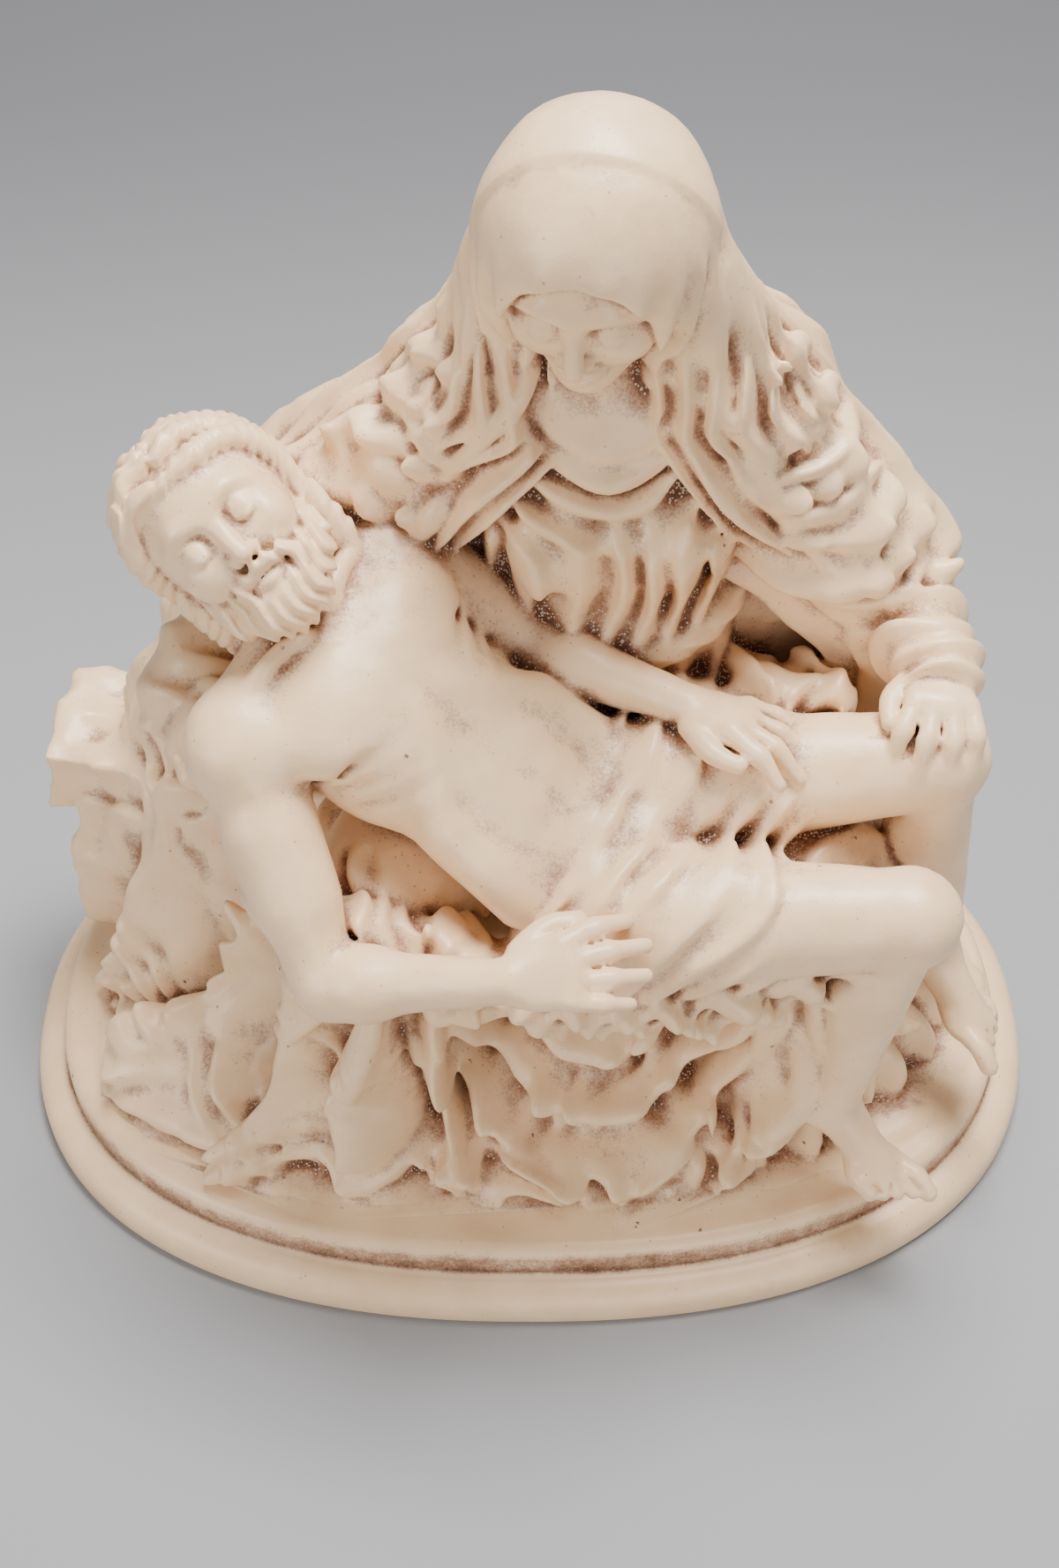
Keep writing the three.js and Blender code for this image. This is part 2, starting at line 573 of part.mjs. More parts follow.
function hisTorso() {
  const { torso } = HIS;
  const at = torso.at;
  add(egg(at(0, -1, 1), [11, 8, 9.5], torso), 2);
  add(egg(at(0, 0, 13), [9, 6.4, 12], torso), 4);
  add(egg(at(0, -0.5, 27), [12, 8.4, 14], torso), 4);
  add(limb(at(-11, -1.5, 37.5), at(11, -1.5, 37.5), 5.4), 4);
  add(limb(at(0, -1, 38), HIS.head.at(0, -3, -6), 5, 4.6), 3);
  for (const s of [-1, 1]) {
    add(egg(at(5.9 * s, 3.9, 32), [6.8, 3.2, 4.8], torso), 3.2);
    add(limb(at(8 * s, 2, 16), at(8.8 * s, 1.5, 6), 3.2), 2);
    for (const u of [20.5, 16.3, 12]) add(egg(at(2.5 * s, 4.7, u), [2.5, 1.6, 2.2], torso), 2);
    add(stroke([at(2 * s, 5.4, 39.3), at(6 * s, 4.6, 40.2), at(11 * s, 1.5, 40)], [1, 0.9, 1]), 1);
    const ribEdge = [at(1.4 * s, 6.4, 26), at(5.2 * s, 6, 22.5), at(8.7 * s, 3.9, 17)];
    add(stroke(ribEdge, [0.8, 1, 0.8]), 2.8);
    for (let i = 0; i < 3; i++) {
      const u = 26 - 2.7 * i;
      const rib = [at(5.6 * s, 8.2, u), at(9 * s, 5.6, u + 1.4), at(11.4 * s, 1, u + 4)];
      carve(stroke(rib, [0.2, 0.45, 0.3]), 1.6);
    }
  }
  carve(stroke([at(0, 9.6, 33), at(0, 9, 25), at(0, 7.7, 9)], [0.8, 0.9, 0.5]), 1.6);
  carve(ball(at(0, 7.4, 8.6), 0.9), 0.8);
  carve(ball(at(0, 6.4, 40.6), 1.4), 1.5);
}

function leg(hip, knee, ankle, bend) {
  add(limb(hip, knee, 7.4, 5), 2.5);
  const calf = mix(knee, ankle, 0.3);
  add(limb(knee, ankle, 4.3, 2.6), 1.5);
  add(ball(plus(knee, times(bend, 0.6)), 4.7), 1.5);
  add(limb(minus(calf, times(bend, 1.6)), minus(mix(knee, ankle, 0.55), bend), 3.7, 2.4), 2);
}

function foot(ankle, toes, upward, inner) {
  const f = frame(ankle, toes, upward);
  add(egg(f.at(0, -2.6, -2.8), [2.5, 3, 2.7], f), 1.5);
  add(limb(f.at(0, 0, -0.5), f.at(0.4 * inner, 7.5, -3.4), 2.9, 2.1), 1.5);
  add(egg(f.at(0, 8, -4), [3.7, 3.6, 1.6], f), 1.5);
  for (const s of [-1, 1]) add(ball(f.at(2.1 * s, -0.4, -0.6 - 0.4 * s * inner), 1.5), 0.8);
  for (let i = 0; i < 5; i++) {
    const root = f.at(inner * (2.5 - 1.3 * i), 10.2 - 0.7 * i, -4.2);
    const tip = f.at(inner * (2.8 - 1.4 * i), 13.4 - 0.95 * i, -4.5);
    add(limb(root, tip, i ? 0.95 : 1.3, i ? 0.85 : 1.2), 0.4);
  }
}

function hand(wrist, fingers, back, thumb, curl = 0.45) {
  const h = frame(wrist, fingers, back);
  add(egg(h.at(0, 3.5, 0), [3.5, 4.3, 1.8], h), 1.2);
  [7.2, 8.2, 7.7, 6.1].forEach((long, i) => {
    const s = thumb * (2.6 - 1.75 * i);
    const bent = (angle) => [Math.cos(angle), -Math.sin(angle)];
    const [c1, u1] = bent(curl * 0.5);
    const [c2, u2] = bent(curl * 1.6);
    const root = [s, 6.2 - 0.25 * Math.abs(s), 0.2];
    const middle = plus(root, [0.06 * s * long, c1 * long * 0.5, u1 * long * 0.5]);
    const tip = plus(middle, [0.02 * s * long, c2 * long * 0.5, u2 * long * 0.5]);
    add(stroke([h.at(...root), h.at(...middle), h.at(...tip)], [1.05, 0.93, 0.75]), 0.35);
  });
  const thumbPath = [h.at(2.6 * thumb, 1.5, -0.6), h.at(4.8 * thumb, 4.6, -1.2), h.at(5 * thumb, 7.6, -1.6)];
  add(stroke(thumbPath, [1.4, 1.2, 0.85]), 0.6);
}

function arm(shoulder, elbow, wrist) {
  add(ball(shoulder, 5.4), 3);
  add(limb(shoulder, elbow, 4.5, 3.4), 2);
  add(limb(mix(shoulder, elbow, 0.35), mix(shoulder, elbow, 0.62), 4.5, 4.2), 2);
  add(limb(mix(elbow, wrist, 0.05), wrist, 3.5, 2.2), 1.2);
  add(ball(mix(elbow, wrist, 0.22), 3.7), 2);
}

function hisBody() {
  hisTorso();
  leg(HIS.farHip, HIS.farKnee, HIS.farAnkle, [1.2, 0, 1]);
  foot(HIS.farAnkle, [0.6, -0.65, -0.35], [0.3, -0.1, 1], -1);
  leg(HIS.nearHip, HIS.nearKnee, HIS.nearAnkle, [1.4, -0.4, 0.8]);
  foot(HIS.nearAnkle, [0.62, -0.72, -0.3], [0.1, -0.1, 1], 1);
  arm(HIS.farShoulder, HIS.farElbow, HIS.farWrist);
  hand(HIS.farWrist, [0.8, -0.45, -0.35], [0.1, 0.2, 1], -1);
  arm(HIS.nearShoulder, HIS.nearElbow, HIS.nearWrist);
  hand(HIS.nearWrist, [0.93, 0.14, 0.06], [-0.05, -0.55, 0.85], 1, 0.35);
}

// One lock of his hair, on the side s of the parting. It starts at the brow where back is 0, at the nape
// where it is 1, and falls past the ear.
function lock(s, back, turned) {
  const tilt = ((57 - 135 * back) * Math.PI) / 180;
  const start = unit([0.07 * s, Math.sin(tilt), Math.cos(tilt)]);
  const sideways = s * Math.cos(0.5 * Math.PI * back);
  const backwards = Math.sin(0.5 * Math.PI * back);
  const end = unit([sideways, 0.1 - backwards, -0.25]);
  const middle = unit(plus(plus(start, end), [0.4 * s * (1 - back), 0, 0.5]));
  const aside = unit(cross(start, end));
  const path = [];
  for (let j = 0; j <= 5; j++) {
    const w = j / 5;
    const bend = plus(times(start, (1 - w) ** 2), plus(times(middle, 2 * w * (1 - w)), times(end, w * w)));
    const [x, y, z] = unit(plus(bend, times(aside, 0.07 * Math.sin(6 * w + turned))));
    path.push(HIS.head.at(8.2 * x, 9.1 * y - 1.4, 8.6 * z + 2.2));
  }
  for (const drop of [4, 8, 11.5]) {
    const wave = 0.6 * Math.sin(0.6 * drop + turned);
    const x = (7.6 - 0.09 * drop) * sideways + wave;
    path.push(HIS.head.at(x, -1 - 8 * backwards - 0.25 * drop, 0.3 * wave - drop));
  }
  add(stroke(path, [0.9, 1.3, 1.35, 1.35, 1.3, 1.3, 1.25, 1.1, 0.5]), 0.2);
}

// His hair: a cap, and wavy locks over it from a parting in the middle.
function hisHair() {
  const h = HIS.head;
  add(egg(h.at(0, -2.2, 2.6), [8.3, 8.9, 8.4], h), 1);
  for (const s of [-1, 1]) {
    const [temple, ear] = [h.at(7 * s, -0.5, 3), h.at(7.4 * s, -1.5, -3)];
    add(stroke([temple, ear, h.at(7 * s, -3, -8), h.at(5.6 * s, -4.5, -12)], [1.4, 1.7, 1.9, 1.2]), 1.5);
  }
  add(stroke([h.at(0, -8, 1), h.at(0, -8.5, -6), h.at(-1, -8, -12)], [5, 5, 3.4]), 3);
  carve(egg(h.at(0, 9.2, -3), [5.9, 8.2, 8], h), 0.8);
  for (const s of [-1, 1]) {
    for (let i = 0; i < LOCKS; i++) lock(s, i / (LOCKS - 1), 2.1 * i + s);
  }
}

// His beard, short and full, with a moustache that runs down into it.
function hisBeard() {
  const h = HIS.head;
  add(egg(h.at(0, 4.6, -9.2), [4.2, 3.4, 3.4], h), 1);
  for (const s of [-1, 1]) {
    add(stroke([h.at(6.2 * s, 1, -3.4), h.at(5.2 * s, 3.4, -7), h.at(2 * s, 5.4, -9.6)], [0.8, 1.9, 2.2]), 1);
    const moustache = [h.at(0.3 * s, 8.2, -5), h.at(2.4 * s, 7.3, -5.5), h.at(4.4 * s, 5.4, -6.6)];
    add(stroke(moustache, [0.6, 0.8, 0.6]), 0.5);
  }
  drape((x, y, z) => {
    const p = minus([x, y, z], h.origin);
    const [s, f, u] = [dot(p, h.side), dot(p, h.front), dot(p, h.up)];
    return 0.35 * crest((TURN * s) / CURL_WIDTH + 1.3 * Math.sin(1.1 * u + 0.8 * f));
  });
}

// The cloth round his hips: a wrapped band with slanting folds that gather at the near hip.
function loincloth() {
  const { torso, nearHip, farHip } = HIS;
  add(egg(torso.at(0, -1, 0.5), [12.6, 9.4, 7.5], torso), 2);
  add(limb(plus(nearHip, [1, 0, 0.5]), plus(nearHip, [13, -0.5, 1.5]), 8.5, 7.6), 2);
  add(limb(plus(farHip, [1, 0, 0.5]), plus(farHip, [12, -0.5, 1.5]), 8.2, 7.4), 2);
  drape((x, y, z) => {
    const run = 0.8 * x - 0.25 * y - 0.55 * z;
    const phase = (TURN * run) / 3.7 + 2.4 * drift(x, y, z, 19, 4);
    return (0.5 + 0.35 * drift(x, y, z, 11, 6)) * crest(phase) - 0.2;
  });
}

// The shroud between him and her lap: it hangs below his back and thighs and is bunched up behind his hips.
function shroud() {
  const under = [[-25, -24, 46], [-10, -25, 39], [6, -27, 36], [22, -26, 37], [33, -25, 39]];
  const lower = under.map(([x, y, z], i) => [x, y + 1.2, z - 4 - 3 * (i % 2)]);
  add(stroke(under, [3, 4.2, 4.4, 4, 2.8]), 2);
  add(stroke(lower, [1.6, 2.6, 2.8, 2.6, 1.6]), 3);
  const behind = [[-9, -1, 61], [0, -1.5, 54], [11, -1.5, 50.5], [22, -1, 51], [32, -1.5, 53]];
  add(stroke(behind, [2.4, 3.4, 3.8, 3.6, 2.4]), 2);
  add(stroke([[2, 3, 53], [14, 4, 49], [28, 4, 49]], [3, 4, 3.6]), 3);
  drape((x, y, z) => {
    const phase = (TURN * (x + 0.5 * z + 0.3 * y)) / 6.4 + 2 * drift(x, y, z, 21, 5);
    const small = crest((TURN * (x - 0.5 * z)) / 3.7 + 2.6 * drift(x, y, z, 9, 6));
    return (0.9 + 0.4 * drift(x, y, z, 13, 3)) * crest(phase) + 0.35 * small;
  });
}

function herHands() {
  hand(HER.rightWrist, [0.25, -0.95, 0.15], [-0.8, -0.2, 0.5], 1, 0.7);
  hand(HER.leftWrist, [-0.12, -0.95, -0.1], [0.1, 0, 1], -1, 0.75);
}

groundAndRock();
layer(mantle, 0.6);
layer(gown, 0.6);
layer(underskirt, 0.8);
layer(overskirt, 0.4);
layer(shroud, 0.6);
layer(hisBody, 0.5);
layer(() => head(HIS.head, 0.97), 0.8);
layer(hisBeard, 0.4);
layer(hisHair, 0.3);
layer(loincloth, 0.4);
layer(herHands, 0.3);
layer(veil, 0.6);
layer(() => head(HER.head), 0.5);

// The marching frame of the skin: a vertex in each mixed cell, a face across each edge that changes sign.
const CORNERS = Array.from({ length: 8 }, (_, c) => [c & 1, (c >> 1) & 1, c >> 2]);
const CELL_EDGES = CORNERS.flatMap((_, c) =>
  [1, 2, 4].filter((bit) => !(c & bit)).map((bit) => [c, c | bit]),
);

// True where the corners inside a cell hang together along its edges, and so do the ones outside.
const SIMPLE = Array.from({ length: 256 }, (_, code) => {
  const pieces = (inside) => {
    const group = CORNERS.map((_, c) => c);
    const find = (c) => (group[c] === c ? c : find(group[c]));
    const mine = (c) => ((code >> c) & 1) === inside;
    for (const [a, b] of CELL_EDGES) if (mine(a) && mine(b)) group[find(a)] = find(b);
    return new Set(CORNERS.map((_, c) => c).filter(mine).map(find)).size;
  };
  return pieces(1) <= 1 && pieces(0) <= 1;
});

function cellCode(i, j, k) {
  let code = 0;
  CORNERS.forEach(([a, b, d], c) => {
    if (clay[index(i + a, j + b, k + d)] < 0) code |= 1 << c;
  });
  return code;
}

// Fills the corner nearest to the surface in each cell whose signs would pinch the skin, until none is left.
function unpinch() {
  const tiny = -1e-3;
  for (let changed = true; changed; ) {
    changed = false;
    for (let k = 0; k < SIZE[2] - 1; k++) {
      for (let j = 0; j < SIZE[1] - 1; j++) {
        for (let i = 0; i < SIZE[0] - 1; i++) {
          const code = cellCode(i, j, k);
          if (code === 0 || code === 255 || SIMPLE[code]) continue;
          const outside = CORNERS.map(([a, b, d]) => index(i + a, j + b, k + d)).filter(
            (n) => clay[n] >= 0,
          );
          clay[outside.reduce((m, n) => (clay[n] < clay[m] ? n : m))] = tiny;
          changed = true;
        }
      }
    }
  }
}

// Leaves a layer of empty cells round the grid, which also cuts the underside flat.
function trimToGrid() {
  for (let k = 0; k < SIZE[2]; k++) {
    for (let j = 0; j < SIZE[1]; j++) {
      for (let i = 0; i < SIZE[0]; i++) {
        const edge =
          i < 1 || j < 1 || k < 1 || i > SIZE[0] - 2 || j > SIZE[1] - 2 || k > SIZE[2] - 2;
        const n = index(i, j, k);
        if (edge) clay[n] = Math.max(clay[n], CELL / 2);
      }
    }
  }
}

function skin() {
  trimToGrid();
  unpinch();
  const vertexOf = new Map();
  const points = [];
  const faces = [];
  for (let k = 0; k < SIZE[2] - 1; k++) {
    for (let j = 0; j < SIZE[1] - 1; j++) {
      for (let i = 0; i < SIZE[0] - 1; i++) {
        const code = cellCode(i, j, k);
        if (code === 0 || code === 255) continue;
        const sum = [0, 0, 0];
        let count = 0;
        for (const [a, b] of CELL_EDGES) {
          if (((code >> a) & 1) === ((code >> b) & 1)) continue;
          const [p, q] = [CORNERS[a], CORNERS[b]];
          const va = clay[index(i + p[0], j + p[1], k + p[2])];
          const vb = clay[index(i + q[0], j + q[1], k + q[2])];
          const t = va / (va - vb);
          for (let e = 0; e < 3; e++) sum[e] += p[e] + (q[e] - p[e]) * t;
          count++;
        }
        vertexOf.set(index(i, j, k), points.length);
        points.push([i, j, k].map((v, e) => place(e, v + sum[e] / count)));
      }
    }
  }
  const ringOfCells = [[0, 0], [-1, 0], [-1, -1], [0, -1]];
  for (let axis = 0; axis < 3; axis++) {
    const [u, v] = [(axis + 1) % 3, (axis + 2) % 3];
    const start = [0, 1, 2].map((e) => (e === axis ? 0 : 1));
    const at = [...start];
    for (at[2] = start[2]; at[2] < SIZE[2] - 1; at[2]++) {
      for (at[1] = start[1]; at[1] < SIZE[1] - 1; at[1]++) {
        for (at[0] = start[0]; at[0] < SIZE[0] - 1; at[0]++) {
          const next = [...at];
          next[axis]++;
          const inHere = clay[index(...at)] < 0;
          if (inHere === clay[index(...next)] < 0) continue;
          const ring = ringOfCells.map(([du, dv]) => {
            const cell = [...at];
            cell[u] += du;
            cell[v] += dv;
            return vertexOf.get(index(...cell));
          });
          if (!inHere) ring.reverse();
          const [a, b, c, d] = ring;
          const gap = (m, n) => {
            const e = minus(points[m], points[n]);
            return dot(e, e);
          };
          if (gap(a, c) <= gap(b, d)) faces.push([a, b, c], [a, c, d]);
          else faces.push([a, b, d], [b, c, d]);
        }
      }
    }
  }
  return outerSkin(points, faces);
}

// A casting has no sealed hollows, so each piece of skin that faces inwards round one is dropped.
function outerSkin(points, faces) {
  const group = points.map((_, i) => i);
  const find = (i) => {
    while (group[i] !== i) i = group[i] = group[group[i]];
    return i;
  };
  for (const [a, b, c] of faces) {
    group[find(a)] = find(b);
    group[find(b)] = find(c);
  }
  const volume = new Map();
  for (const [a, b, c] of faces) {
    const six = dot(points[a], cross(points[b], points[c]));
    volume.set(find(a), (volume.get(find(a)) ?? 0) + six);
  }
  return { points, faces: faces.filter(([a]) => volume.get(find(a)) > 0) };
}

// Thins a skin to a number of triangles by collapsing the edges that change its shape least.
function thin({ points, faces }, target) {
  const position = points.map((p) => [...p]);
  const touching = points.map(() => new Set());
  faces.forEach((face, f) => face.forEach((v) => touching[v].add(f)));
  const alive = faces.map(() => true);
  const stamp = new Uint32Array(points.length);
  const normalOf = (a, b, c) => cross(minus(b, a), minus(c, a));
  // Each error form holds the ten sums of a plane's squared distance, weighted by area.
  const error = points.map(() => new Float64Array(10));
  const plane = (form, n, d, w) => {
    const [a, b, c] = n;
    [a * a, a * b, a * c, a * d, b * b, b * c, b * d, c * c, c * d, d * d].forEach((v, i) => {
      form[i] += v * w;
    });
  };
  const evenness = 0.002;
  for (const [a, b, c] of faces) {
    const n = normalOf(points[a], points[b], points[c]);
    const area = Math.sqrt(dot(n, n)) / 2;
    if (area < 1e-9) continue;
    const facing = unit(n);
    for (const v of [a, b, c]) {
      plane(error[v], facing, -dot(facing, points[a]), area);
      [[1, 0, 0], [0, 1, 0], [0, 0, 1]].forEach((axis) =>
        plane(error[v], axis, -dot(axis, points[v]), area * evenness),
      );
    }
  }
  const cost = (q, [x, y, z]) =>
    q[0] * x * x + 2 * q[1] * x * y + 2 * q[2] * x * z + 2 * q[3] * x + q[4] * y * y +
    2 * q[5] * y * z + 2 * q[6] * y + q[7] * z * z + 2 * q[8] * z + q[9];
  const best = (q, a, b) => {
    const m = [[q[0], q[1], q[2]], [q[1], q[4], q[5]], [q[2], q[5], q[7]]];
    const [r0, r1, r2] = m;
    const det = dot(r0, cross(r1, r2));
    const size = q[0] + q[4] + q[7];
    if (Math.abs(det) > 1e-7 * size * size * size) {
      const right = [-q[3], -q[6], -q[8]];
      const columns = [cross(r1, r2), cross(r2, r0), cross(r0, r1)];
      const p = [0, 1, 2].map(
        (i) =>
          (right[0] * columns[0][i] + right[1] * columns[1][i] + right[2] * columns[2][i]) / det,
      );
      const away = minus(p, mix(a, b, 0.5));
      const edge = minus(a, b);
      if (dot(away, away) < 4 * dot(edge, edge)) return p;
    }
    return [a, b, mix(a, b, 0.5)].reduce((m2, p) => (cost(q, p) < cost(q, m2) ? p : m2));
  };
  const heap = makeHeap();
  const offer = (a, b) => {
    const q = error[a].map((v, i) => v + error[b][i]);
    const p = best(q, position[a], position[b]);
    heap.push({ cost: Math.max(cost(q, p), 0), a, b, p, sa: stamp[a], sb: stamp[b] });
  };
  const neighbours = (v) => {
    const set = new Set();
    for (const f of touching[v]) for (const w of faces[f]) if (w !== v) set.add(w);
    return set;
  };
  points.forEach((_, a) => {
    for (const b of neighbours(a)) if (b > a) offer(a, b);
  });
  const spoils = (v, other, p) => {
    for (const f of touching[v]) {
      if (faces[f].includes(other)) continue;
      const before = faces[f].map((w) => position[w]);
      const after = faces[f].map((w) => (w === v ? p : position[w]));
      const [n, m] = [normalOf(...before), normalOf(...after)];
      const [ln, lm] = [Math.sqrt(dot(n, n)), Math.sqrt(dot(m, m))];
      if (dot(n, m) < 0.35 * ln * lm) return true;
      const sides = [0, 1, 2].map((i) => minus(after[i], after[(i + 1) % 3]));
      const spread = sides.reduce((sum, s) => sum + dot(s, s), 0);
      if ((2 * Math.sqrt(3) * lm) / spread < 0.12) return true;
    }
    return false;
  };
  let left = faces.length;
  while (left > target) {
    const next = heap.pop();
    if (!next) break;
    const { a, b, p, sa, sb } = next;
    if (stamp[a] !== sa || stamp[b] !== sb) continue;
    const [na, nb] = [neighbours(a), neighbours(b)];
    if (!na.has(b) || [...na].filter((v) => nb.has(v)).length !== 2) continue;
    if (spoils(a, b, p) || spoils(b, a, p)) continue;
    position[a] = p;
    error[b].forEach((v, i) => (error[a][i] += v));
    for (const f of [...touching[b]]) {
      if (faces[f].includes(a)) {
        alive[f] = false;
        left--;
        faces[f].forEach((v) => touching[v].delete(f));
      } else {
        faces[f] = faces[f].map((v) => (v === b ? a : v));
        touching[a].add(f);
      }
    }
    touching[b].clear();
    stamp[a]++;
    stamp[b]++;
    for (const v of neighbours(a)) offer(a, v);
  }
  return { points: position, faces: faces.filter((_, f) => alive[f]) };
}

function makeHeap() {
  const items = [];
  const swap = (i, j) => ([items[i], items[j]] = [items[j], items[i]]);
  return {
    push(item) {
      let i = items.push(item) - 1;
      for (let up; i > 0 && items[(up = (i - 1) >> 1)].cost > items[i].cost; i = up) swap(i, up);
    },
    pop() {
      if (!items.length) return undefined;
      const top = items[0];
      const last = items.pop();
      if (items.length) {
        items[0] = last;
        for (let i = 0; ; ) {
          let low = 2 * i + 1;
          if (low >= items.length) break;
          if (low + 1 < items.length && items[low + 1].cost < items[low].cost) low++;
          if (items[low].cost >= items[i].cost) break;
          swap(i, low);
          i = low;
        }
      }
      return top;
    },
  };
}

// The plinth: two rounded tiers, turned as a lathe profile and then drawn out to a full oval.
function plinthGeometry() {
  const arc = (inset, height, radius, steps) =>
    Array.from({ length: steps + 1 }, (_, i) => {
      const turn = (i / steps) * (Math.PI / 2);
      return [inset + radius * (1 - Math.cos(turn)), height - radius * (1 - Math.sin(turn))];
    });
  const upperInset = LOWER_TIER_ROUNDING + TIER_STEP;
  const profile = [
    [PLINTH_DEPTH / 2, 0],
    [FOOT_CHAMFER, 0],
    [0, FOOT_CHAMFER],
    ...arc(0, LOWER_TIER_HEIGHT, LOWER_TIER_ROUNDING, 4),
    [upperInset, LOWER_TIER_HEIGHT],
    ...arc(upperInset, PLINTH_HEIGHT, UPPER_TIER_ROUNDING, 3),
    [PLINTH_DEPTH / 2, PLINTH_HEIGHT],
  ];
  const reach = PLINTH_DEPTH / 2;
  const moulding = new THREE.LatheGeometry(
    profile.map(([inset, z]) => new THREE.Vector2(reach - inset, z)),
    PLINTH_SEGMENTS,
  );
  moulding.rotateX(Math.PI / 2);
  const round = (v) => Math.sign(v) * Math.abs(v) ** (2 / OVAL_FULLNESS);
  const position = moulding.attributes.position;
  for (let i = 0; i < position.count; i++) {
    const [x, y] = [position.getX(i), position.getY(i)];
    const radius = Math.hypot(x, y);
    const inset = reach - radius;
    const [c, s] = radius > 0 ? [x / radius, y / radius] : [0, 0];
    const shrink = radius > 0 ? 1 : 0;
    position.setX(i, shrink * (PLINTH_LENGTH / 2 - inset) * round(c));
    position.setY(i, shrink * (PLINTH_DEPTH / 2 - inset) * round(s));
  }
  return moulding;
}

const wasm = await Module();
wasm.setup();

function solidOf(geometry) {
  const bare = new THREE.BufferGeometry();
  bare.setAttribute("position", geometry.attributes.position);
  if (geometry.index) bare.setIndex(geometry.index);
  const merged = mergeVertices(bare, 1e-4);
  const triVerts = new Uint32Array(merged.index.array).reduce((kept, _, i, all) => {
    if (i % 3) return kept;
    const [a, b, c] = [all[i], all[i + 1], all[i + 2]];
    if (a !== b && b !== c && c !== a) kept.push(a, b, c);
    return kept;
  }, []);
  const solid = new wasm.Manifold(
    new wasm.Mesh({
      numProp: 3,
      vertProperties: merged.attributes.position.array,
      triVerts: new Uint32Array(triVerts),
    }),
  );
  return solid;
}

function geometryOf(solid) {
  const { numProp, numVert, vertProperties, triVerts } = solid.getMesh();
  const position = new Float32Array(numVert * 3);
  for (let i = 0; i < numVert; i++) {
    position.set(vertProperties.subarray(i * numProp, i * numProp + 3), i * 3);
  }
  const geometry = new THREE.BufferGeometry();
  geometry.setAttribute("position", new THREE.BufferAttribute(position, 3));
  geometry.setIndex(new THREE.BufferAttribute(triVerts, 1));
  return geometry;
}

function groupGeometry() {
  const { points, faces } = thin(skin(), SKIN_TRIANGLES);
  const top = faces.flat().reduce((high, v) => Math.max(high, points[v][2]), 0);
  const unitSize = (TOTAL_HEIGHT - PLINTH_HEIGHT) / top;
  const placed = points.map((p) => plus(times(p, unitSize), [0, 0, PLINTH_HEIGHT]));
  const geometry = new THREE.BufferGeometry();
  geometry.setAttribute("position", new THREE.Float32BufferAttribute(placed.flat(), 3));
  geometry.setIndex(faces.flat());
  return geometry;
}

const casting = solidOf(plinthGeometry()).add(solidOf(groupGeometry()));
const geometry = geometryOf(casting);
geometry.computeVertexNormals();

const marbleResin = new THREE.MeshStandardMaterial({
  color: 0xe0cdb8,
  roughness: 0.45,
  metalness: 0,
});
const statue = new THREE.Mesh(geometry, marbleResin);
statue.name = "pieta_statue";

const part = new THREE.Group();
part.add(statue);
export default part;
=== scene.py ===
import math
import bmesh
import bpy
import numpy as np
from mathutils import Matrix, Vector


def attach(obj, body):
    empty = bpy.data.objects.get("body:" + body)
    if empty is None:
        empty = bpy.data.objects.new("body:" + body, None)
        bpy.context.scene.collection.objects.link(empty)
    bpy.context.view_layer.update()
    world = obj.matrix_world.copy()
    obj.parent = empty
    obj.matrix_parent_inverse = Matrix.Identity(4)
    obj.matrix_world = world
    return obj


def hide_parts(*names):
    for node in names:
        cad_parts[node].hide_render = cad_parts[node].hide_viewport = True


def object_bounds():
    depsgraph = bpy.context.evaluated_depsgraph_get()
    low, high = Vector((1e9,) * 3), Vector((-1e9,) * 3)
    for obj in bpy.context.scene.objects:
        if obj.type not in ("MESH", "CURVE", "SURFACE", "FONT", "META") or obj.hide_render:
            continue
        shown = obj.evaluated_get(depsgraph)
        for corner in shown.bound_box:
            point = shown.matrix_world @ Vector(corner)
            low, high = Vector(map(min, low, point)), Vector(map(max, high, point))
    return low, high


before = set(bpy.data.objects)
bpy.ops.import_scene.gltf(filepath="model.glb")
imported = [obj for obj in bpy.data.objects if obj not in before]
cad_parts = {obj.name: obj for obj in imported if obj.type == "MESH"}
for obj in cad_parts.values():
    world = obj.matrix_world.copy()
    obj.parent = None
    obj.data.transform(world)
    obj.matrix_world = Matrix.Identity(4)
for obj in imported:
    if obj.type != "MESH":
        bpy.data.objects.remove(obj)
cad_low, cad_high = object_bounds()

import openvdb
from mathutils import Vector


# The ground and the rock: a low uneven plate of ground, and the rough block of stone that the woman sits
# on. The whole group is one casting in marble resin, from a mould taken off a model carved in clay. So it is
# made here as such a model is, in strokes, because primitives pushed about give no cloth and skin.
GROUP_UNITS = 116  # the height of the group above the plinth, on the sculptor's own scale
SUNK = 1.5  # how far the group's underside lies below the plinth's top
FAR = 9.0  # the distance that stands for empty space
REACH = 3.0  # how far round a stroke the distances are kept up
DRAPE_REACH = 6.5  # how deep on both sides of the surface a drape moves the distances
LINE_STEP = 0.3  # the steps in which a line of sight looks for the surface
COARSE = 0.4  # the spacing of the clay's grid
FINE = 0.24  # and where the heads are


def unit(v):
    v = np.asarray(v, float)
    return v / np.linalg.norm(v)


class Place:
    """Somewhere to work: an origin, where it faces, which way is up, and side = up x front."""

    def __init__(self, origin, facing, upward):
        self.origin = np.asarray(origin, float)
        self.up = unit(upward)
        facing = np.asarray(facing, float)
        self.front = unit(facing - self.up * (facing @ self.up))
        self.side = np.cross(self.up, self.front)

    def at(self, s, f, u):
        return self.origin + self.side * s + self.front * f + self.up * u


WORLD = Place((0, 0, 0), (0, -1, 0), (0, 0, 1))


def around(points, reach):
    """The box round some points, as its low and its high corner, with a reach to spare."""
    points = np.array(points, float)
    return points.min(0) - reach, points.max(0) + reach


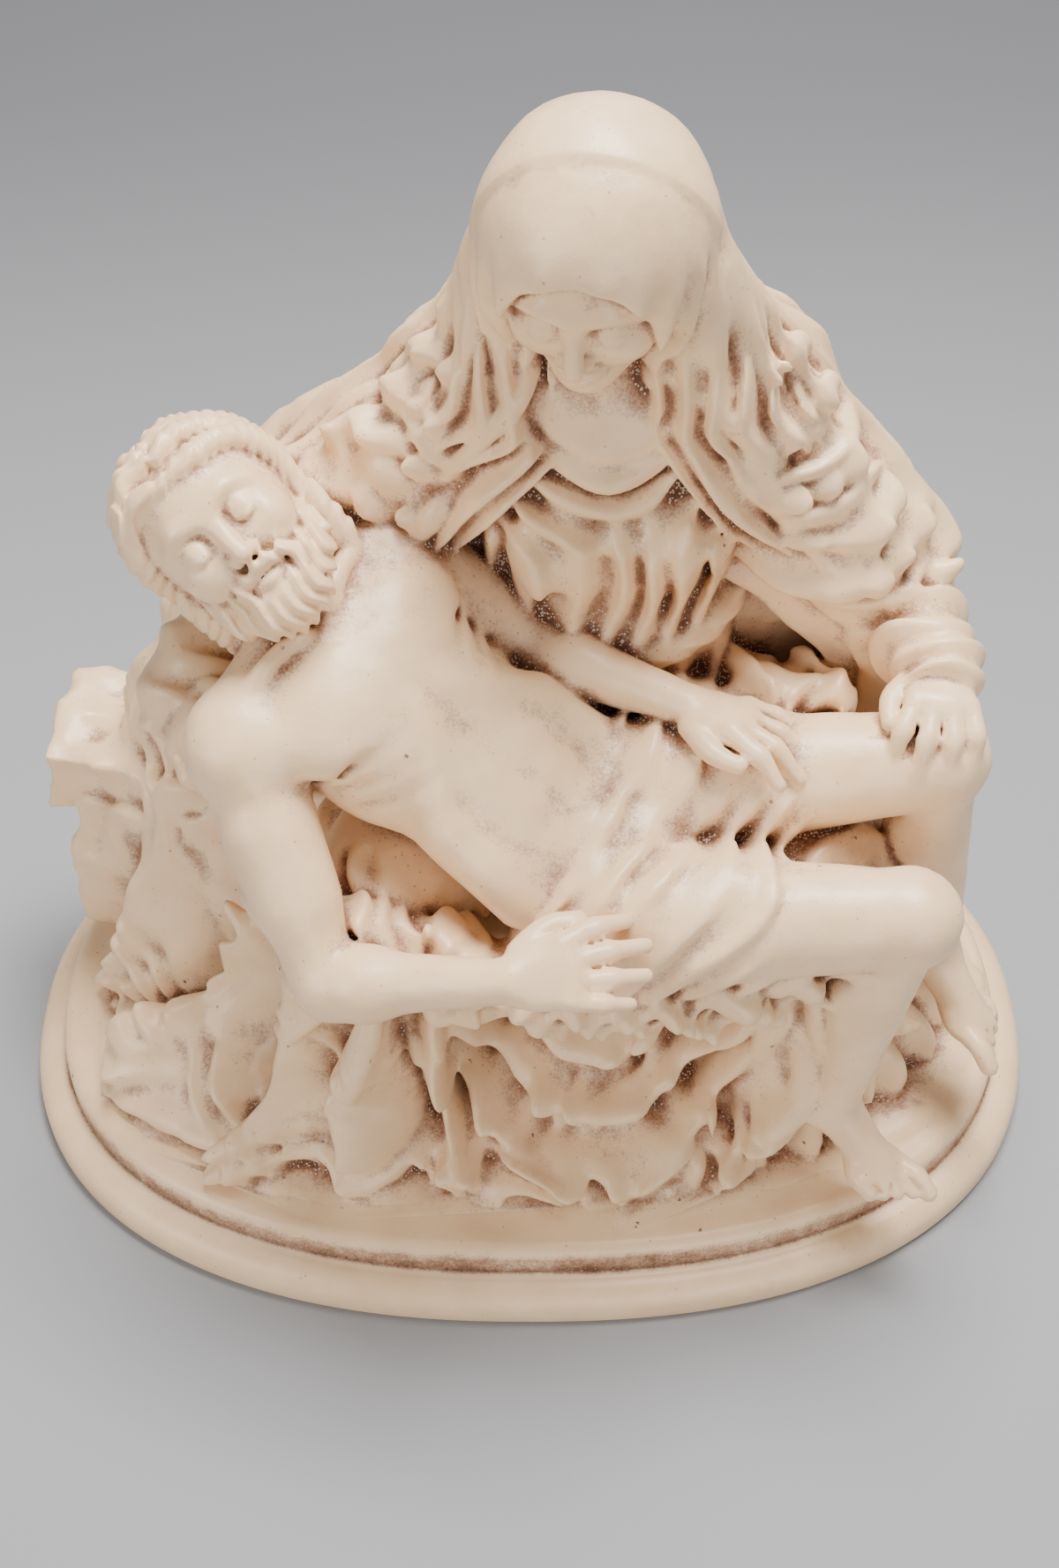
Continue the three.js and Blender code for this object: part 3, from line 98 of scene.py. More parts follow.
def length(x, y, z):
    return np.sqrt(x * x + y * y + z * z)


def limb(a, b, ra, rb=None):
    """A round limb from a to b, its radius going evenly from ra to rb."""
    rb = ra if rb is None else rb
    a = np.asarray(a, float)
    d = np.asarray(b, float) - a
    span = max(d @ d, 1e-9)

    def distance(x, y, z):
        px, py, pz = x - a[0], y - a[1], z - a[2]
        t = np.clip((px * d[0] + py * d[1] + pz * d[2]) / span, 0, 1)
        return length(px - d[0] * t, py - d[1] * t, pz - d[2] * t) - (ra + (rb - ra) * t)

    return (*around([a, b], max(ra, rb)), distance)


def ball(centre, radius):
    return limb(centre, centre, radius)


def egg(centre, radii, axes=WORLD):
    """An ellipsoid with half-axes along a place's side, front and up."""
    ways = [axes.side / radii[0], axes.front / radii[1], axes.up / radii[2]]

    def distance(x, y, z):
        px, py, pz = x - centre[0], y - centre[1], z - centre[2]
        a, b, c = (px * w[0] + py * w[1] + pz * w[2] for w in ways)
        near = length(a, b, c)
        slope = length(a / radii[0], b / radii[1], c / radii[2])
        return near * (near - 1) / np.maximum(slope, 1e-6)

    reach = np.sqrt(sum((way * r) ** 2 for way, r in zip((axes.side, axes.front, axes.up), radii)))
    return (np.asarray(centre) - reach, np.asarray(centre) + reach, distance)


def block(centre, halves, rounding, axes):
    """A block with rounded edges, its half-sizes along a place's side, front and up."""

    def distance(x, y, z):
        px, py, pz = x - centre[0], y - centre[1], z - centre[2]
        out = [
            np.abs(px * w[0] + py * w[1] + pz * w[2]) - half + rounding
            for w, half in zip((axes.side, axes.front, axes.up), halves)
        ]
        outside = length(*(np.maximum(v, 0) for v in out))
        return outside + np.minimum(np.maximum(np.maximum(*out[:2]), out[2]), 0) - rounding

    reach = sum(np.abs(way) * h for way, h in zip((axes.side, axes.front, axes.up), halves))
    return (np.asarray(centre) - reach, np.asarray(centre) + reach, distance)


def along(points):
    """Points evenly along a smooth curve, a centripetal spline, through a few points."""
    p = np.array(points, float)
    count = 6 * (len(p) - 1) + 1
    p = np.vstack([2 * p[0] - p[1], p, 2 * p[-1] - p[-2]])
    step = np.maximum(np.sum(np.diff(p, axis=0) ** 2, axis=1) ** 0.25, 1e-4)
    path = []
    for n in range(count):
        t = n / (count - 1) * (len(p) - 3)
        i = min(int(t), len(p) - 4)
        w = t - i
        p0, p1, p2, p3 = p[i:i + 4]
        d0, d1, d2 = step[i:i + 3]
        m1 = ((p1 - p0) / d0 - (p2 - p0) / (d0 + d1) + (p2 - p1) / d1) * d1
        m2 = ((p2 - p1) / d1 - (p3 - p1) / (d1 + d2) + (p3 - p2) / d2) * d1
        c2 = -3 * p1 + 3 * p2 - 2 * m1 - m2
        c3 = 2 * p1 - 2 * p2 + m1 + m2
        path.append(p1 + m1 * w + c2 * w * w + c3 * w ** 3)
    return np.array(path)


def stroke(points, radii):
    """A stroke of clay along a smooth curve; radii run from end to end, as evenly spaced values."""
    path = along(points)
    share = np.linspace(0, 1, len(path))
    r = np.interp(share, np.linspace(0, 1, len(radii)), radii)
    return [limb(path[i], path[i + 1], r[i], r[i + 1]) for i in range(len(path) - 1)]


def soft_min(a, b, blend):
    """The lesser of two distances, rounded over where they meet."""
    h = np.maximum(blend - np.abs(a - b), 0)
    return np.minimum(a, b) - h * h / (4 * blend)


def spacing(low, high, fine):
    """Places for the grid along one axis: close together from one end of a stretch to the other."""
    edges = [low - COARSE, fine[0], fine[1], high + COARSE]
    steps = []
    for i, cell in enumerate((COARSE, FINE, COARSE)):
        steps.append(np.arange(edges[i], edges[i + 1] - cell / 2, cell))
    return np.concatenate(steps + [edges[3:]]).astype(np.float32)


class Clay:
    """A block of clay as a grid of distances to its surface, negative inside."""

    def __init__(self, axes):
        self.axes = axes
        self.values = np.full([len(a) for a in axes], FAR, np.float32)

    def window(self, low, high, reach):
        box = tuple(
            slice(np.searchsorted(a, low[i] - reach), np.searchsorted(a, high[i] + reach))
            for i, a in enumerate(self.axes)
        )
        x, y, z = (a[s] for a, s in zip(self.axes, box))
        return box, (x[:, None, None], y[None, :, None], z[None, None, :])

    def nearest(self, shape, reach):
        """The window that a shape or a stroke reaches, and its distances there."""
        if not isinstance(shape, list):
            low, high, distance = shape
            box, grid = self.window(low, high, reach)
            return box, distance(*grid)
        low = np.min([part[0] for part in shape], axis=0)
        high = np.max([part[1] for part in shape], axis=0)
        box, _ = self.window(low, high, reach)
        near = np.full([s.stop - s.start for s in box], FAR, np.float32)
        for low, high, distance in shape:
            inner, grid = self.window(low, high, reach)
            local = tuple(slice(i.start - b.start, i.stop - b.start) for i, b in zip(inner, box))
            near[local] = np.minimum(near[local], distance(*grid))
        return box, near

    def add(self, shape, blend):
        box, near = self.nearest(shape, REACH + blend)
        self.values[box] = soft_min(self.values[box], near, blend)

    def carve(self, shape, blend):
        box, near = self.nearest(shape, REACH + blend)
        self.values[box] = -soft_min(-self.values[box], near, blend)

    def places(self, reach=FAR):
        """The cells near the surface, and where each one is."""
        cells = np.nonzero(np.abs(self.values) < reach)
        return cells, [a[c] for a, c in zip(self.axes, cells)]

    def drape(self, height):
        """Raises or sinks the surface by a height that depends on the place."""
        cells, spots = self.places(DRAPE_REACH)
        self.values[cells] -= height(*spots)

    def trim(self, above):
        """Cuts away what lies where a height is above zero."""
        cells, spots = self.places()
        self.values[cells] = np.maximum(self.values[cells], above(*spots))

    def layer(self, build, blend):
        """Builds a layer apart, then lays it on, so that the two meet in a crease."""
        apart = Clay(self.axes)
        build(apart)
        near = np.minimum(self.values, apart.values) < REACH + blend
        self.values[near] = soft_min(self.values[near], apart.values[near], blend)

    def sample(self, points):
        """The distances at some points, blended from the cells round each."""
        total = 0
        at = [np.interp(points[..., i], a, np.arange(len(a))) for i, a in enumerate(self.axes)]
        base = [np.minimum(g.astype(int), len(a) - 2) for g, a in zip(at, self.axes)]
        share = [g - b for g, b in zip(at, base)]
        for i in (0, 1):
            for j in (0, 1):
                for k in (0, 1):
                    w = [v if c else 1 - v for v, c in zip(share, (i, j, k))]
                    value = self.values[base[0] + i, base[1] + j, base[2] + k]
                    total = total + w[0] * w[1] * w[2] * value
        return total

    def onto(self, view, line, depth):
        """Carries a line that is drawn from one side onto the surface, sunk by a depth."""
        ways = np.arange(0, 90, LINE_STEP)
        path = []
        for a, b, _ in along([(*p, 0) for p in line]):
            start, way = view(a, b)
            way = unit(way)
            inside = self.sample(np.asarray(start, float) + ways[:, None] * way) < 0
            path.append(np.asarray(start) + way * (ways[inside.argmax()] - LINE_STEP / 2 + depth))
        return path

    def ridge(self, view, line, radii, depth, blend):
        """Lays a stroke along a drawn line, sunk by a share of its greatest radius."""
        path = self.onto(view, line, depth * max(radii))
        thin = [p for i, p in enumerate(path) if i % 3 == 0 or i == len(path) - 1]
        self.add(stroke(thin, radii), blend)

    def skin(self):
        """The surface: its corners in the clay's units, and its faces."""
        v = self.values
        for axis in range(3):
            for edge in (0, -1):
                side = [slice(None)] * 3
                side[axis] = edge
                v[tuple(side)] = np.maximum(v[tuple(side)], COARSE)
        grid = openvdb.FloatGrid(background=FAR)
        grid.copyFromArray(v)
        points, triangles, quads = grid.convertToPolygons(isovalue=0.0, adaptivity=0.0)
        corners = [np.interp(points[:, i], np.arange(len(a)), a) for i, a in enumerate(self.axes)]
        return np.stack(corners, axis=1), [*triangles.tolist(), *quads.tolist()]


def drift(x, y, z, size, seed):
    """A smooth uneven value, from about -1 to 1, that comes and goes over a distance of about a size."""
    k = 2 * math.pi / size
    a = np.sin(k * (0.8 * x + 0.5 * y + 0.33 * z) + seed)
    b = np.sin(k * (1.15 * y - 0.6 * x + 0.26 * z) + 2.1 * seed + 1.3)
    c = np.sin(k * (0.76 * z + 0.24 * x - 0.32 * y) + 0.7 * seed + 4)
    return (a + b + c) / 2


def ground_and_rock(clay):
    rocks = (
        ((6, 13, 12), (30, 13, 15), (0.1, -1, 0)),
        ((-30, 13, 14), (13, 12, 15), (-0.35, -1, 0.1)),
        ((-47, 13, 29), (9, 8, 5), (-0.15, -1, -0.1)),
        ((-43, 12, 16), (9, 10, 12), (-0.4, -1, 0.1)),
        ((36, 12, 10), (12, 12, 12), (0.4, -1, 0.1)),
    )
    for centre, halves, facing in rocks:
        clay.add(block(centre, halves, 1.2, Place(centre, facing, (0.08, 0, 1))), 0.8)

    def chisel_marks(x, y, z):
        facets = 1.5 * np.abs(drift(x, y, z, 23, 3)) + 0.6 * np.abs(drift(x, y, z, 10, 7))
        return 0.9 - facets - 0.15 * drift(x, y, z, 4, 1)

    clay.drape(chisel_marks)
    for x, y, rx, ry in ((2, 0, 52, 33), (-22, -4, 32, 27), (28, -2, 28, 26)):
        clay.add(egg((x, y, -1.2), (rx, ry, 3.4)), 3)
    clay.drape(lambda x, y, z: 0.25 * drift(x, y, z, 9, 2))


body = Clay((
    spacing(-63, 63, (-42, 15)),
    spacing(-43, 43, (-13, 5)),
    spacing(-SUNK, GROUP_UNITS + 4, (62, 114)),
))
ground_and_rock(body)


# The woman: seated on the rock with her knees apart, her head bowed under a veil. A long mantle falls from
# the veil over her shoulders and down her back. Under it she wears a gown with a girdle and wide sleeves.
HER_HEAD = Place((5.5, 2.5, 103), (-0.2, -0.92, -0.32), (-0.07, -0.31, 0.95))
HER_HIPS = (8, 14, 37)
HER_CHEST = (8, 10, 70)
HER_RIGHT_ARM = ((-7, 10, 80), (-28, 11, 60), (-36, -4, 55))  # shoulder, elbow, wrist
HER_LEFT_ARM = ((23, 10.5, 80), (38, 8, 57), (42, -3, 58.5))
HER_RIGHT_KNEE = (-15, -14, 37)
HER_LEFT_KNEE = (29, -12, 35)


def front_above(x, z):
    """A line of sight onto the front from above: where it starts, and which way it runs."""
    return (x, -40, z + 27), (0, 0.83, -0.56)


def front(x, z):
    """A level line of sight onto the front."""
    return (x, -43, z), (0, 1, 0)


def fade(v, start, end):
    """Goes smoothly from 0 to 1 as a value goes from a start to an end."""
    t = np.clip((v - start) / (end - start), 0, 1)
    return t * t * (3 - 2 * t)


def crest(phase):
    """The height of a fold across its width: a broad leaning crest, a narrow valley. A turn is a fold."""
    leaning = phase + 0.4 * np.sin(phase)
    return 1 - 2 * ((1 - np.cos(leaning)) / 2) ** 1.5


def creases(x, y, z, size, seed):
    """Small folds that come and go in patches, as cloth has between its main folds."""
    phase = 2 * np.pi * (0.7 * x - 0.4 * y + 0.55 * z) / size + 2.8 * drift(x, y, z, 4 * size, seed)
    return crest(phase) * fade(drift(x, y, z, 3.4 * size, seed + 3), -0.2, 0.5)


def mantle(clay):
    h = HER_HEAD
    for s in (-1, 1):
        clay.add(limb(h.at(6.5 * s, -3, -4), (8 + 12 * s, 11, 85), 6, 6.6), 3)
        clay.add(limb((8 + 12 * s, 14, 82), (8 + 19 * s, 19, 42), 8, 10), 5)
        clay.add(limb((8 + 19 * s, 19, 42), (8 + 23 * s, 17, 4), 10, 13), 5)
    clay.add(limb((-5, 11, 81.5), (-23, 12.5, 66), 7.6, 9.4), 4)
    clay.add(limb((21, 11, 81.5), (34.5, 10, 62.5), 7.6, 9), 4)
    clay.add(limb((7, 12, 94), (8, 16, 72), 8, 11), 5)
    clay.add(limb((8, 16, 72), (8, 20, 6), 11, 14), 5)
    clay.add(limb((-29, 11, 56), (-37, 9, 36), 7.5, 7), 4)
    clay.add(limb((-37, 9, 38), (-39, 2, 8), 7, 11), 4)
    clay.add(limb((38, 9, 56), (40, 8, 8), 6, 10), 4)

    def falling(x, y, z):
        turn = np.arctan2(y - 12 + 8 * fade(z, 80, 50), x - 7.5)
        wander = 1.5 * drift(x, y, z, 34, 1) + 0.6 * drift(x, y, z, 15, 4)
        broad = crest(21 * turn + wander) * (0.75 + 1.5 * fade(z, 90, 35))
        small = 0.4 * crest(47 * turn + 2.4 * drift(x, y, z, 21, 9))
        out = np.abs(x - 8)
        slung = crest(2 * np.pi * (0.95 * z - 0.3 * out) / 6.2 + 1.6 * drift(x, y, z, 22, 6))
        over_arm = 0.85 * slung * fade(out, 13, 18) * fade(y, 13, 7) * fade(z, 60, 65)
        broad = broad * (1 - 0.5 * fade(out, 13, 18) * fade(y, 13, 7))
        small = small + (0.5 - 0.35 * fade(y, 10, 17)) * creases(x, y, z, 4.4, 13)
        return (broad + small + over_arm) * fade(z, 100, 88)

    clay.drape(falling)
    for s in (-1, 1):
        edge = [(8 + 9.5 * s, 91), (8 + 13 * s, 83), (8 + 18 * s, 75), (8 + 25 * s, 65)]
        clay.ridge(front_above, edge, [0.9, 1.5, 1.4, 0.4], 0.2, 0.7)
    clay.carve(stroke([(-37, -4, 46), (-42, -9, 30), (-37, -15, 13)], [1.6, 2.8, 1.8]), 1)


def sleeve(clay, a, b, ra, rb, count):
    """A round limb whose cloth lies in slanting rings, pushed up unevenly."""
    low, high, bare = limb(a, b, ra, rb)
    run = np.subtract(b, a)
    around_arm = Place(a, np.cross(run, (0.3, 0.5, 1)), run)
    long = np.linalg.norm(run)

    def distance(x, y, z):
        px, py, pz = x - a[0], y - a[1], z - a[2]
        u, s, f = (
            px * w[0] + py * w[1] + pz * w[2]
            for w in (around_arm.up, around_arm.side, around_arm.front)
        )
        t = u / long
        turn = np.arctan2(s, f)
        phase = 2 * np.pi * count * t + 1.9 * np.sin(turn + 0.6) + 2 * drift(x, y, z, 13, count)
        push = (0.65 + 0.4 * drift(x, y, z, 10, 2 * count)) * (1 - 0.45 * fade(t, 0.5, 0.9))
        return bare(x, y, z) - push * crest(phase) * fade(t, -0.1, 0.1)

    clay.add((low, high, distance), 2)


def gown(clay):
    clay.add(egg(HER_HIPS, (19, 14, 13)), 4)
    clay.add(egg((8, 11, 54), (14.5, 12, 16)), 5)
    clay.add(egg(HER_CHEST, (14.5, 10, 13)), 5)
    for s in (-1, 1):
        clay.add(ball((8 + 5.6 * s, 2.8, 70), 4.6), 4)
    clay.add(limb((-6, 10.5, 80), (22, 11, 80), 6.4), 5)

    def gathers(x, y, z):
        across = x - 8
        hang = z - 0.05 * across * across
        cowl = 0.8 * crest(2 * np.pi * hang / 4.5 + 1.5 * drift(x, y, z, 17, 2))
        width = 3.3 + 0.055 * (z - 58)
        gathered = 0.75 * crest(2 * np.pi * across / width + 1.9 * drift(x, y, z, 15, 5))
        high = fade(z, 69, 77)
        low = fade(z, 55, 63) * (1 - high)
        below = 0.9 * crest(2 * np.pi * across / 4 + 1.6 * drift(x, y, z, 14, 6)) * fade(z, 57, 52)
        crumple = 0.3 * drift(x, y, z, 6, 8)
        girdle = np.exp(-(((z - 57 - 0.012 * across * across) / 1.4) ** 4))
        folds = fade(y, 9, 3) * (gathered * low + cowl * high * fade(z, 91, 86) + below + crumple)
        return folds * (1 - girdle) + (1.5 + 0.2 * np.sin(3 * (z + 0.4 * x))) * girdle

    clay.drape(gathers)
    clay.add(limb((7.6, 9, 83), (6.2, 5, 95), 4.5, 4.3), 2)
    clay.add(stroke([(-3, 8, 90), (7.6, 6.5, 83.5), (18, 8, 90)], [4, 5.5, 4]), 2)
    for drop, radius in ((0, 0.8), (3.2, 1.2)):
        neckline = [
            (-2, 6, 89 - 0.6 * drop),
            (2.5, 2.9, 84.6 - drop),
            (7.6, 1.6 - 0.2 * drop, 82.6 - drop),
            (12.7, 2.9, 84.6 - drop),
            (17, 6, 89 - 0.6 * drop),
        ]
        clay.add(stroke(neckline, [0.8, radius, radius, radius, 0.8]), 1.2)
    shoulder, elbow, wrist = HER_RIGHT_ARM
    sleeve(clay, shoulder, elbow, 7.2, 6.2, 4)
    sleeve(clay, elbow, wrist, 6.4, 4.6, 3)
    shoulder, elbow, wrist = HER_LEFT_ARM
    sleeve(clay, shoulder, elbow, 7.2, 6.4, 5)
    sleeve(clay, elbow, wrist, 6.4, 4.4, 4)


def lap_form(clay, extra):
    """Her lap, shins and the spread of cloth on the ground, as a smooth form to drape."""
    e = extra
    clay.add(limb((-2, 13, 35), HER_RIGHT_KNEE, 12 + e, 8.4 + e), 5)
    clay.add(limb((18, 13, 34), HER_LEFT_KNEE, 12 + e, 8.4 + e), 5)
    clay.add(limb(HER_RIGHT_KNEE, (-19, -19, 4), 8.4 + e, 9 + e), 4)
    clay.add(limb(HER_LEFT_KNEE, (30, -16, 4), 8.4 + e, 9 + e), 4)
    clay.add(limb((8, 0, 34), (7, -11, 3), 12 + e, 15 + e), 5)
    clay.add(egg((8, -4, 45), (12 + e, 13, 6.5)), 4)
    clay.add(egg((4, -7, 1), (41 + e, 23 + e, 7 + e)), 4)
    clay.add(egg((-29, -5, 2), (21 + e, 22 + e, 10 + e)), 4)
    clay.add(egg((-27, 2, 18), (12 + e, 12 + e, 19)), 5)
    clay.add(egg((35, 0, 3), (16 + e, 19 + e, 11 + e)), 4)
    clay.add(egg((35, 4, 20), (11 + e, 13 + e, 19)), 5)


def round_hem(x, y):
    """The angle round the hem's oval, seen from above: 0 is the viewer's right."""
    return np.arctan2((y - 2) / 32, (x - 3) / 49)


def underskirt(clay):
    lap_form(clay, -0.8)

    def pleats(x, y, z):
        turn = round_hem(x, y)
        phase = 40 * turn + 1.4 * drift(x, y, z, 26, 3)
        pleat = (1.1 + 0.4 * drift(x, y, z, 17, 8)) * crest(phase) * fade(z, 40, 24)
        return (pleat + 1.6) * fade(x, 8, 20) - 1.6

    clay.drape(pleats)


def overskirt(clay):
    lap_form(clay, 1)

    def folds(x, y, z):
        left_turn = np.arctan2(y + 9, x + 10)
        right_turn = np.arctan2(y + 6, x - 26)
        wander = 1.7 * drift(x, y, z, 38, 2) + 0.7 * drift(x, y, z, 18, 5)
        left = crest(13 * left_turn + 0.05 * z + wander)
        right = crest(12 * right_turn - 0.05 * z + wander)
        side = fade(x, 2, 14)
        pleats = left * (1 - side) + right * side
        across = (x - 7.5) / 18
        hang = z + 12 * (1 - across * across)
        swags = crest(2 * np.pi * hang / 7.6 + 0.9 * drift(x, y, z, 20, 7))
        between = fade(np.abs(across), 1.05, 0.7) * fade(y, -4, -10) * fade(z, 1, 8) * fade(z, 39, 32)
        hanging = fade(z, 42, 31) * (1 - between)
        deep = (2 + 0.8 * fade(x, 0, -30) + 0.5 * drift(x, y, z, 24, 6)) * (0.5 + 0.5 * fade(z, 0, 13))
        pooled = crest(2 * np.pi * (z + 0.12 * y) / 4.6 + 1.5 * pleats + 1.8 * drift(x, y, z, 19, 4))
        small = 0.4 * crest(31 * round_hem(x, y) + 2.6 * drift(x, y, z, 19, 11)) * fade(z, 44, 34)
        small = small + 0.6 * creases(x, y, z, 4, 9)
        return deep * pleats * hanging + 2 * swags * between + small + 0.75 * pooled * fade(z, 10, 4)

    def hem(x, y, z):
        edge = 16 * fade(x, 8, 44) - 5 + 1.2 * drift(x, y, 0 * z, 16, 3) - 8 * fade(y, 0, 20)
        return (edge - z) * 0.8

    clay.drape(folds)
    clay.trim(hem)
    knee_fan(clay, HER_RIGHT_KNEE, -1)
    knee_fan(clay, HER_LEFT_KNEE, 1)


def knee_fan(clay, knee, outward):
    """Short folds that spread over the top of a knee from where the cloth is pulled tight."""
    for i in range(5):
        turn = math.radians(-90 + outward * (-34 + 24 * i))
        line = [(knee[0] + r * math.cos(turn), knee[2] + r * math.sin(turn)) for r in (3, 10, 18)]
        clay.ridge(front, line, [0.8, 1.7, 1], 0.1, 1.4)


body.layer(mantle, 0.6)
body.layer(gown, 0.6)
body.layer(underskirt, 0.8)
body.layer(overskirt, 0.4)


# The man: laid across her lap on a shroud, the shoulders raised in the bend of her right arm and the head
# fallen back. He wears only a cloth round the hips.
HIS_TORSO = Place((8, -17, 44), (0.36, -0.51, 0.76), (-0.785, 0.31, 0.555))
HIS_HEAD = Place((-29.5, -1, 75.5), (0.1, -0.78, 0.6), (-0.72, 0.4, 0.56))
LOCKS = 9  # of hair, on each side of the parting
NEAR_LEG = ((8, -23, 42), (37.5, -25, 45), (34, -25, 12))  # hip, knee, ankle
FAR_LEG = ((12, -9, 47), (41.5, -10, 52), (46.5, -9, 19))
NEAR_ARM = (HIS_TORSO.at(-13.3, -1, 37), (-20, -31, 42), (-2, -35, 48))
FAR_ARM = (HIS_TORSO.at(13.3, -1, 37), (1, 1, 57), (16, -7, 57))


def shroud(clay):
    under = [(-25, -24, 46), (-10, -25, 39), (6, -27, 36), (22, -26, 37), (33, -25, 39)]
    lower = [(x, y + 1.2, z - 4 - 3 * (i % 2)) for i, (x, y, z) in enumerate(under)]
    clay.add(stroke(under, [3, 4.2, 4.4, 4, 2.8]), 2)
    clay.add(stroke(lower, [1.6, 2.6, 2.8, 2.6, 1.6]), 3)
    behind = [(-9, -1, 61), (0, -1.5, 54), (11, -1.5, 50.5), (22, -1, 51), (32, -1.5, 53)]
    clay.add(stroke(behind, [2.4, 3.4, 3.8, 3.6, 2.4]), 2)
    clay.add(stroke([(2, 3, 53), (14, 4, 49), (28, 4, 49)], [3, 4, 3.6]), 3)

    def folds(x, y, z):
        phase = 2 * np.pi * (x + 0.5 * z + 0.3 * y) / 6.4 + 2 * drift(x, y, z, 21, 5)
        small = crest(2 * np.pi * (x - 0.5 * z) / 3.7 + 2.6 * drift(x, y, z, 9, 6))
        return (0.9 + 0.4 * drift(x, y, z, 13, 3)) * crest(phase) + 0.35 * small

    clay.drape(folds)


def his_torso(clay):
    torso, at = HIS_TORSO, HIS_TORSO.at
    clay.add(egg(at(0, -1, 1), (11, 8, 9.5), torso), 2)
    clay.add(egg(at(0, 0, 13), (9, 6.4, 12), torso), 4)
    clay.add(egg(at(0, -0.5, 27), (12, 8.4, 14), torso), 4)
    clay.add(limb(at(-11, -1.5, 37.5), at(11, -1.5, 37.5), 5.4), 4)
    clay.add(limb(at(0, -1, 38), HIS_HEAD.at(0, -3, -6), 5, 4.6), 3)
    for s in (-1, 1):
        clay.add(egg(at(5.9 * s, 3.9, 32), (6.8, 3.2, 4.8), torso), 3.2)
        clay.add(limb(at(8 * s, 2, 16), at(8.8 * s, 1.5, 6), 3.2), 2)
        for u in (20.5, 16.3, 12):
            clay.add(egg(at(2.5 * s, 4.7, u), (2.5, 1.6, 2.2), torso), 2)
        collarbone = [at(2 * s, 5.4, 39.3), at(6 * s, 4.6, 40.2), at(11 * s, 1.5, 40)]
        clay.add(stroke(collarbone, [1, 0.9, 1]), 1)
        rib_edge = [at(1.4 * s, 6.4, 26), at(5.2 * s, 6, 22.5), at(8.7 * s, 3.9, 17)]
        clay.add(stroke(rib_edge, [0.8, 1, 0.8]), 2.8)
        for i in range(3):
            rib = [at(5.6 * s, 8.2, 26 - 2.7 * i), at(9 * s, 5.6, 27.4 - 2.7 * i)]
            rib.append(at(11.4 * s, 1, 30 - 2.7 * i))
            clay.carve(stroke(rib, [0.2, 0.45, 0.3]), 1.6)
    clay.carve(stroke([at(0, 9.6, 33), at(0, 9, 25), at(0, 7.7, 9)], [0.8, 0.9, 0.5]), 1.6)
    clay.carve(ball(at(0, 7.4, 8.6), 0.9), 0.8)
    clay.carve(ball(at(0, 6.4, 40.6), 1.4), 1.5)


def mix(a, b, t):
    return np.asarray(a, float) * (1 - t) + np.asarray(b, float) * t


def leg(clay, hip, knee, ankle, bend):
    """A leg whose kneecap points along bend and whose calf lies behind it."""
    bend = np.array(bend, float)
    clay.add(limb(hip, knee, 7.4, 5), 2.5)
    clay.add(limb(knee, ankle, 4.3, 2.6), 1.5)
    clay.add(ball(knee + bend * 0.6, 4.7), 1.5)
    calf = mix(knee, ankle, 0.3) - bend * 1.6
    clay.add(limb(calf, mix(knee, ankle, 0.55) - bend, 3.7, 2.4), 2)


def foot(clay, ankle, toes, upward, inner):
    """A bare foot; inner is 1 or -1, the side that the big toe is on."""
    f = Place(ankle, toes, upward)
    clay.add(egg(f.at(0, -2.6, -2.8), (2.5, 3, 2.7), f), 1.5)
    clay.add(limb(f.at(0, 0, -0.5), f.at(0.4 * inner, 7.5, -3.4), 2.9, 2.1), 1.5)
    clay.add(egg(f.at(0, 8, -4), (3.7, 3.6, 1.6), f), 1.5)
    for s in (-1, 1):
        clay.add(ball(f.at(2.1 * s, -0.4, -0.6 - 0.4 * s * inner), 1.5), 0.8)
    for i in range(5):
        root = f.at(inner * (2.5 - 1.3 * i), 9.3 - 0.6 * i, -3.6)
        joint = f.at(inner * (2.7 - 1.38 * i), 11.6 - 0.8 * i, -3.5)
        tip = f.at(inner * (2.8 - 1.4 * i), 13.6 - 0.98 * i, -4.5)
        clay.add(stroke([root, joint, tip], [0.8, 0.82, 0.72] if i else [1.15, 1.2, 1.1]), 0.25)
    for i in range(4):
        between = 1.85 - 1.34 * i if i else 1.65
        start = f.at(inner * between, 9.8 - 0.7 * i, -2.6)
        end = f.at(inner * (between + 0.2), 13.2 - 0.95 * i, -3.7)
        clay.carve(stroke([start, end], [0.12, 0.34]), 0.3)


def hand(clay, wrist, fingers, back, thumb, curl=0.45):
    """A hand with bent fingers; thumb is 1 or -1, the side that it is on, and curl the bend in radians."""
    h = Place(wrist, fingers, back)
    clay.add(egg(h.at(0, 3.5, 0), (3.5, 4.3, 1.8), h), 1.2)
    for i, long in enumerate((7.2, 8.2, 7.7, 6.1)):
        s = thumb * (2.6 - 1.75 * i)
        root = np.array([s, 6.2 - 0.25 * abs(s), 0.2])
        half = long / 2
        middle = root + [0.06 * s * long, math.cos(curl / 2) * half, -math.sin(curl / 2) * half]
        end = 1.6 * curl
        tip = middle + [0.02 * s * long, math.cos(end) * half, -math.sin(end) * half]
        clay.add(stroke([h.at(*root), h.at(*middle), h.at(*tip)], [1.05, 0.95, 0.78]), 0.35)
        clay.add(ball(h.at(*(root + [0, 0, 0.2])), 0.8), 1.4)
        clay.add(ball(h.at(*(middle + [0, 0, 0.1])), 0.85), 0.8)
    path = [h.at(2.6 * thumb, 1.5, -0.6), h.at(4.8 * thumb, 4.6, -1.2), h.at(5 * thumb, 7.6, -1.6)]
    clay.add(stroke(path, [1.4, 1.2, 0.85]), 0.6)


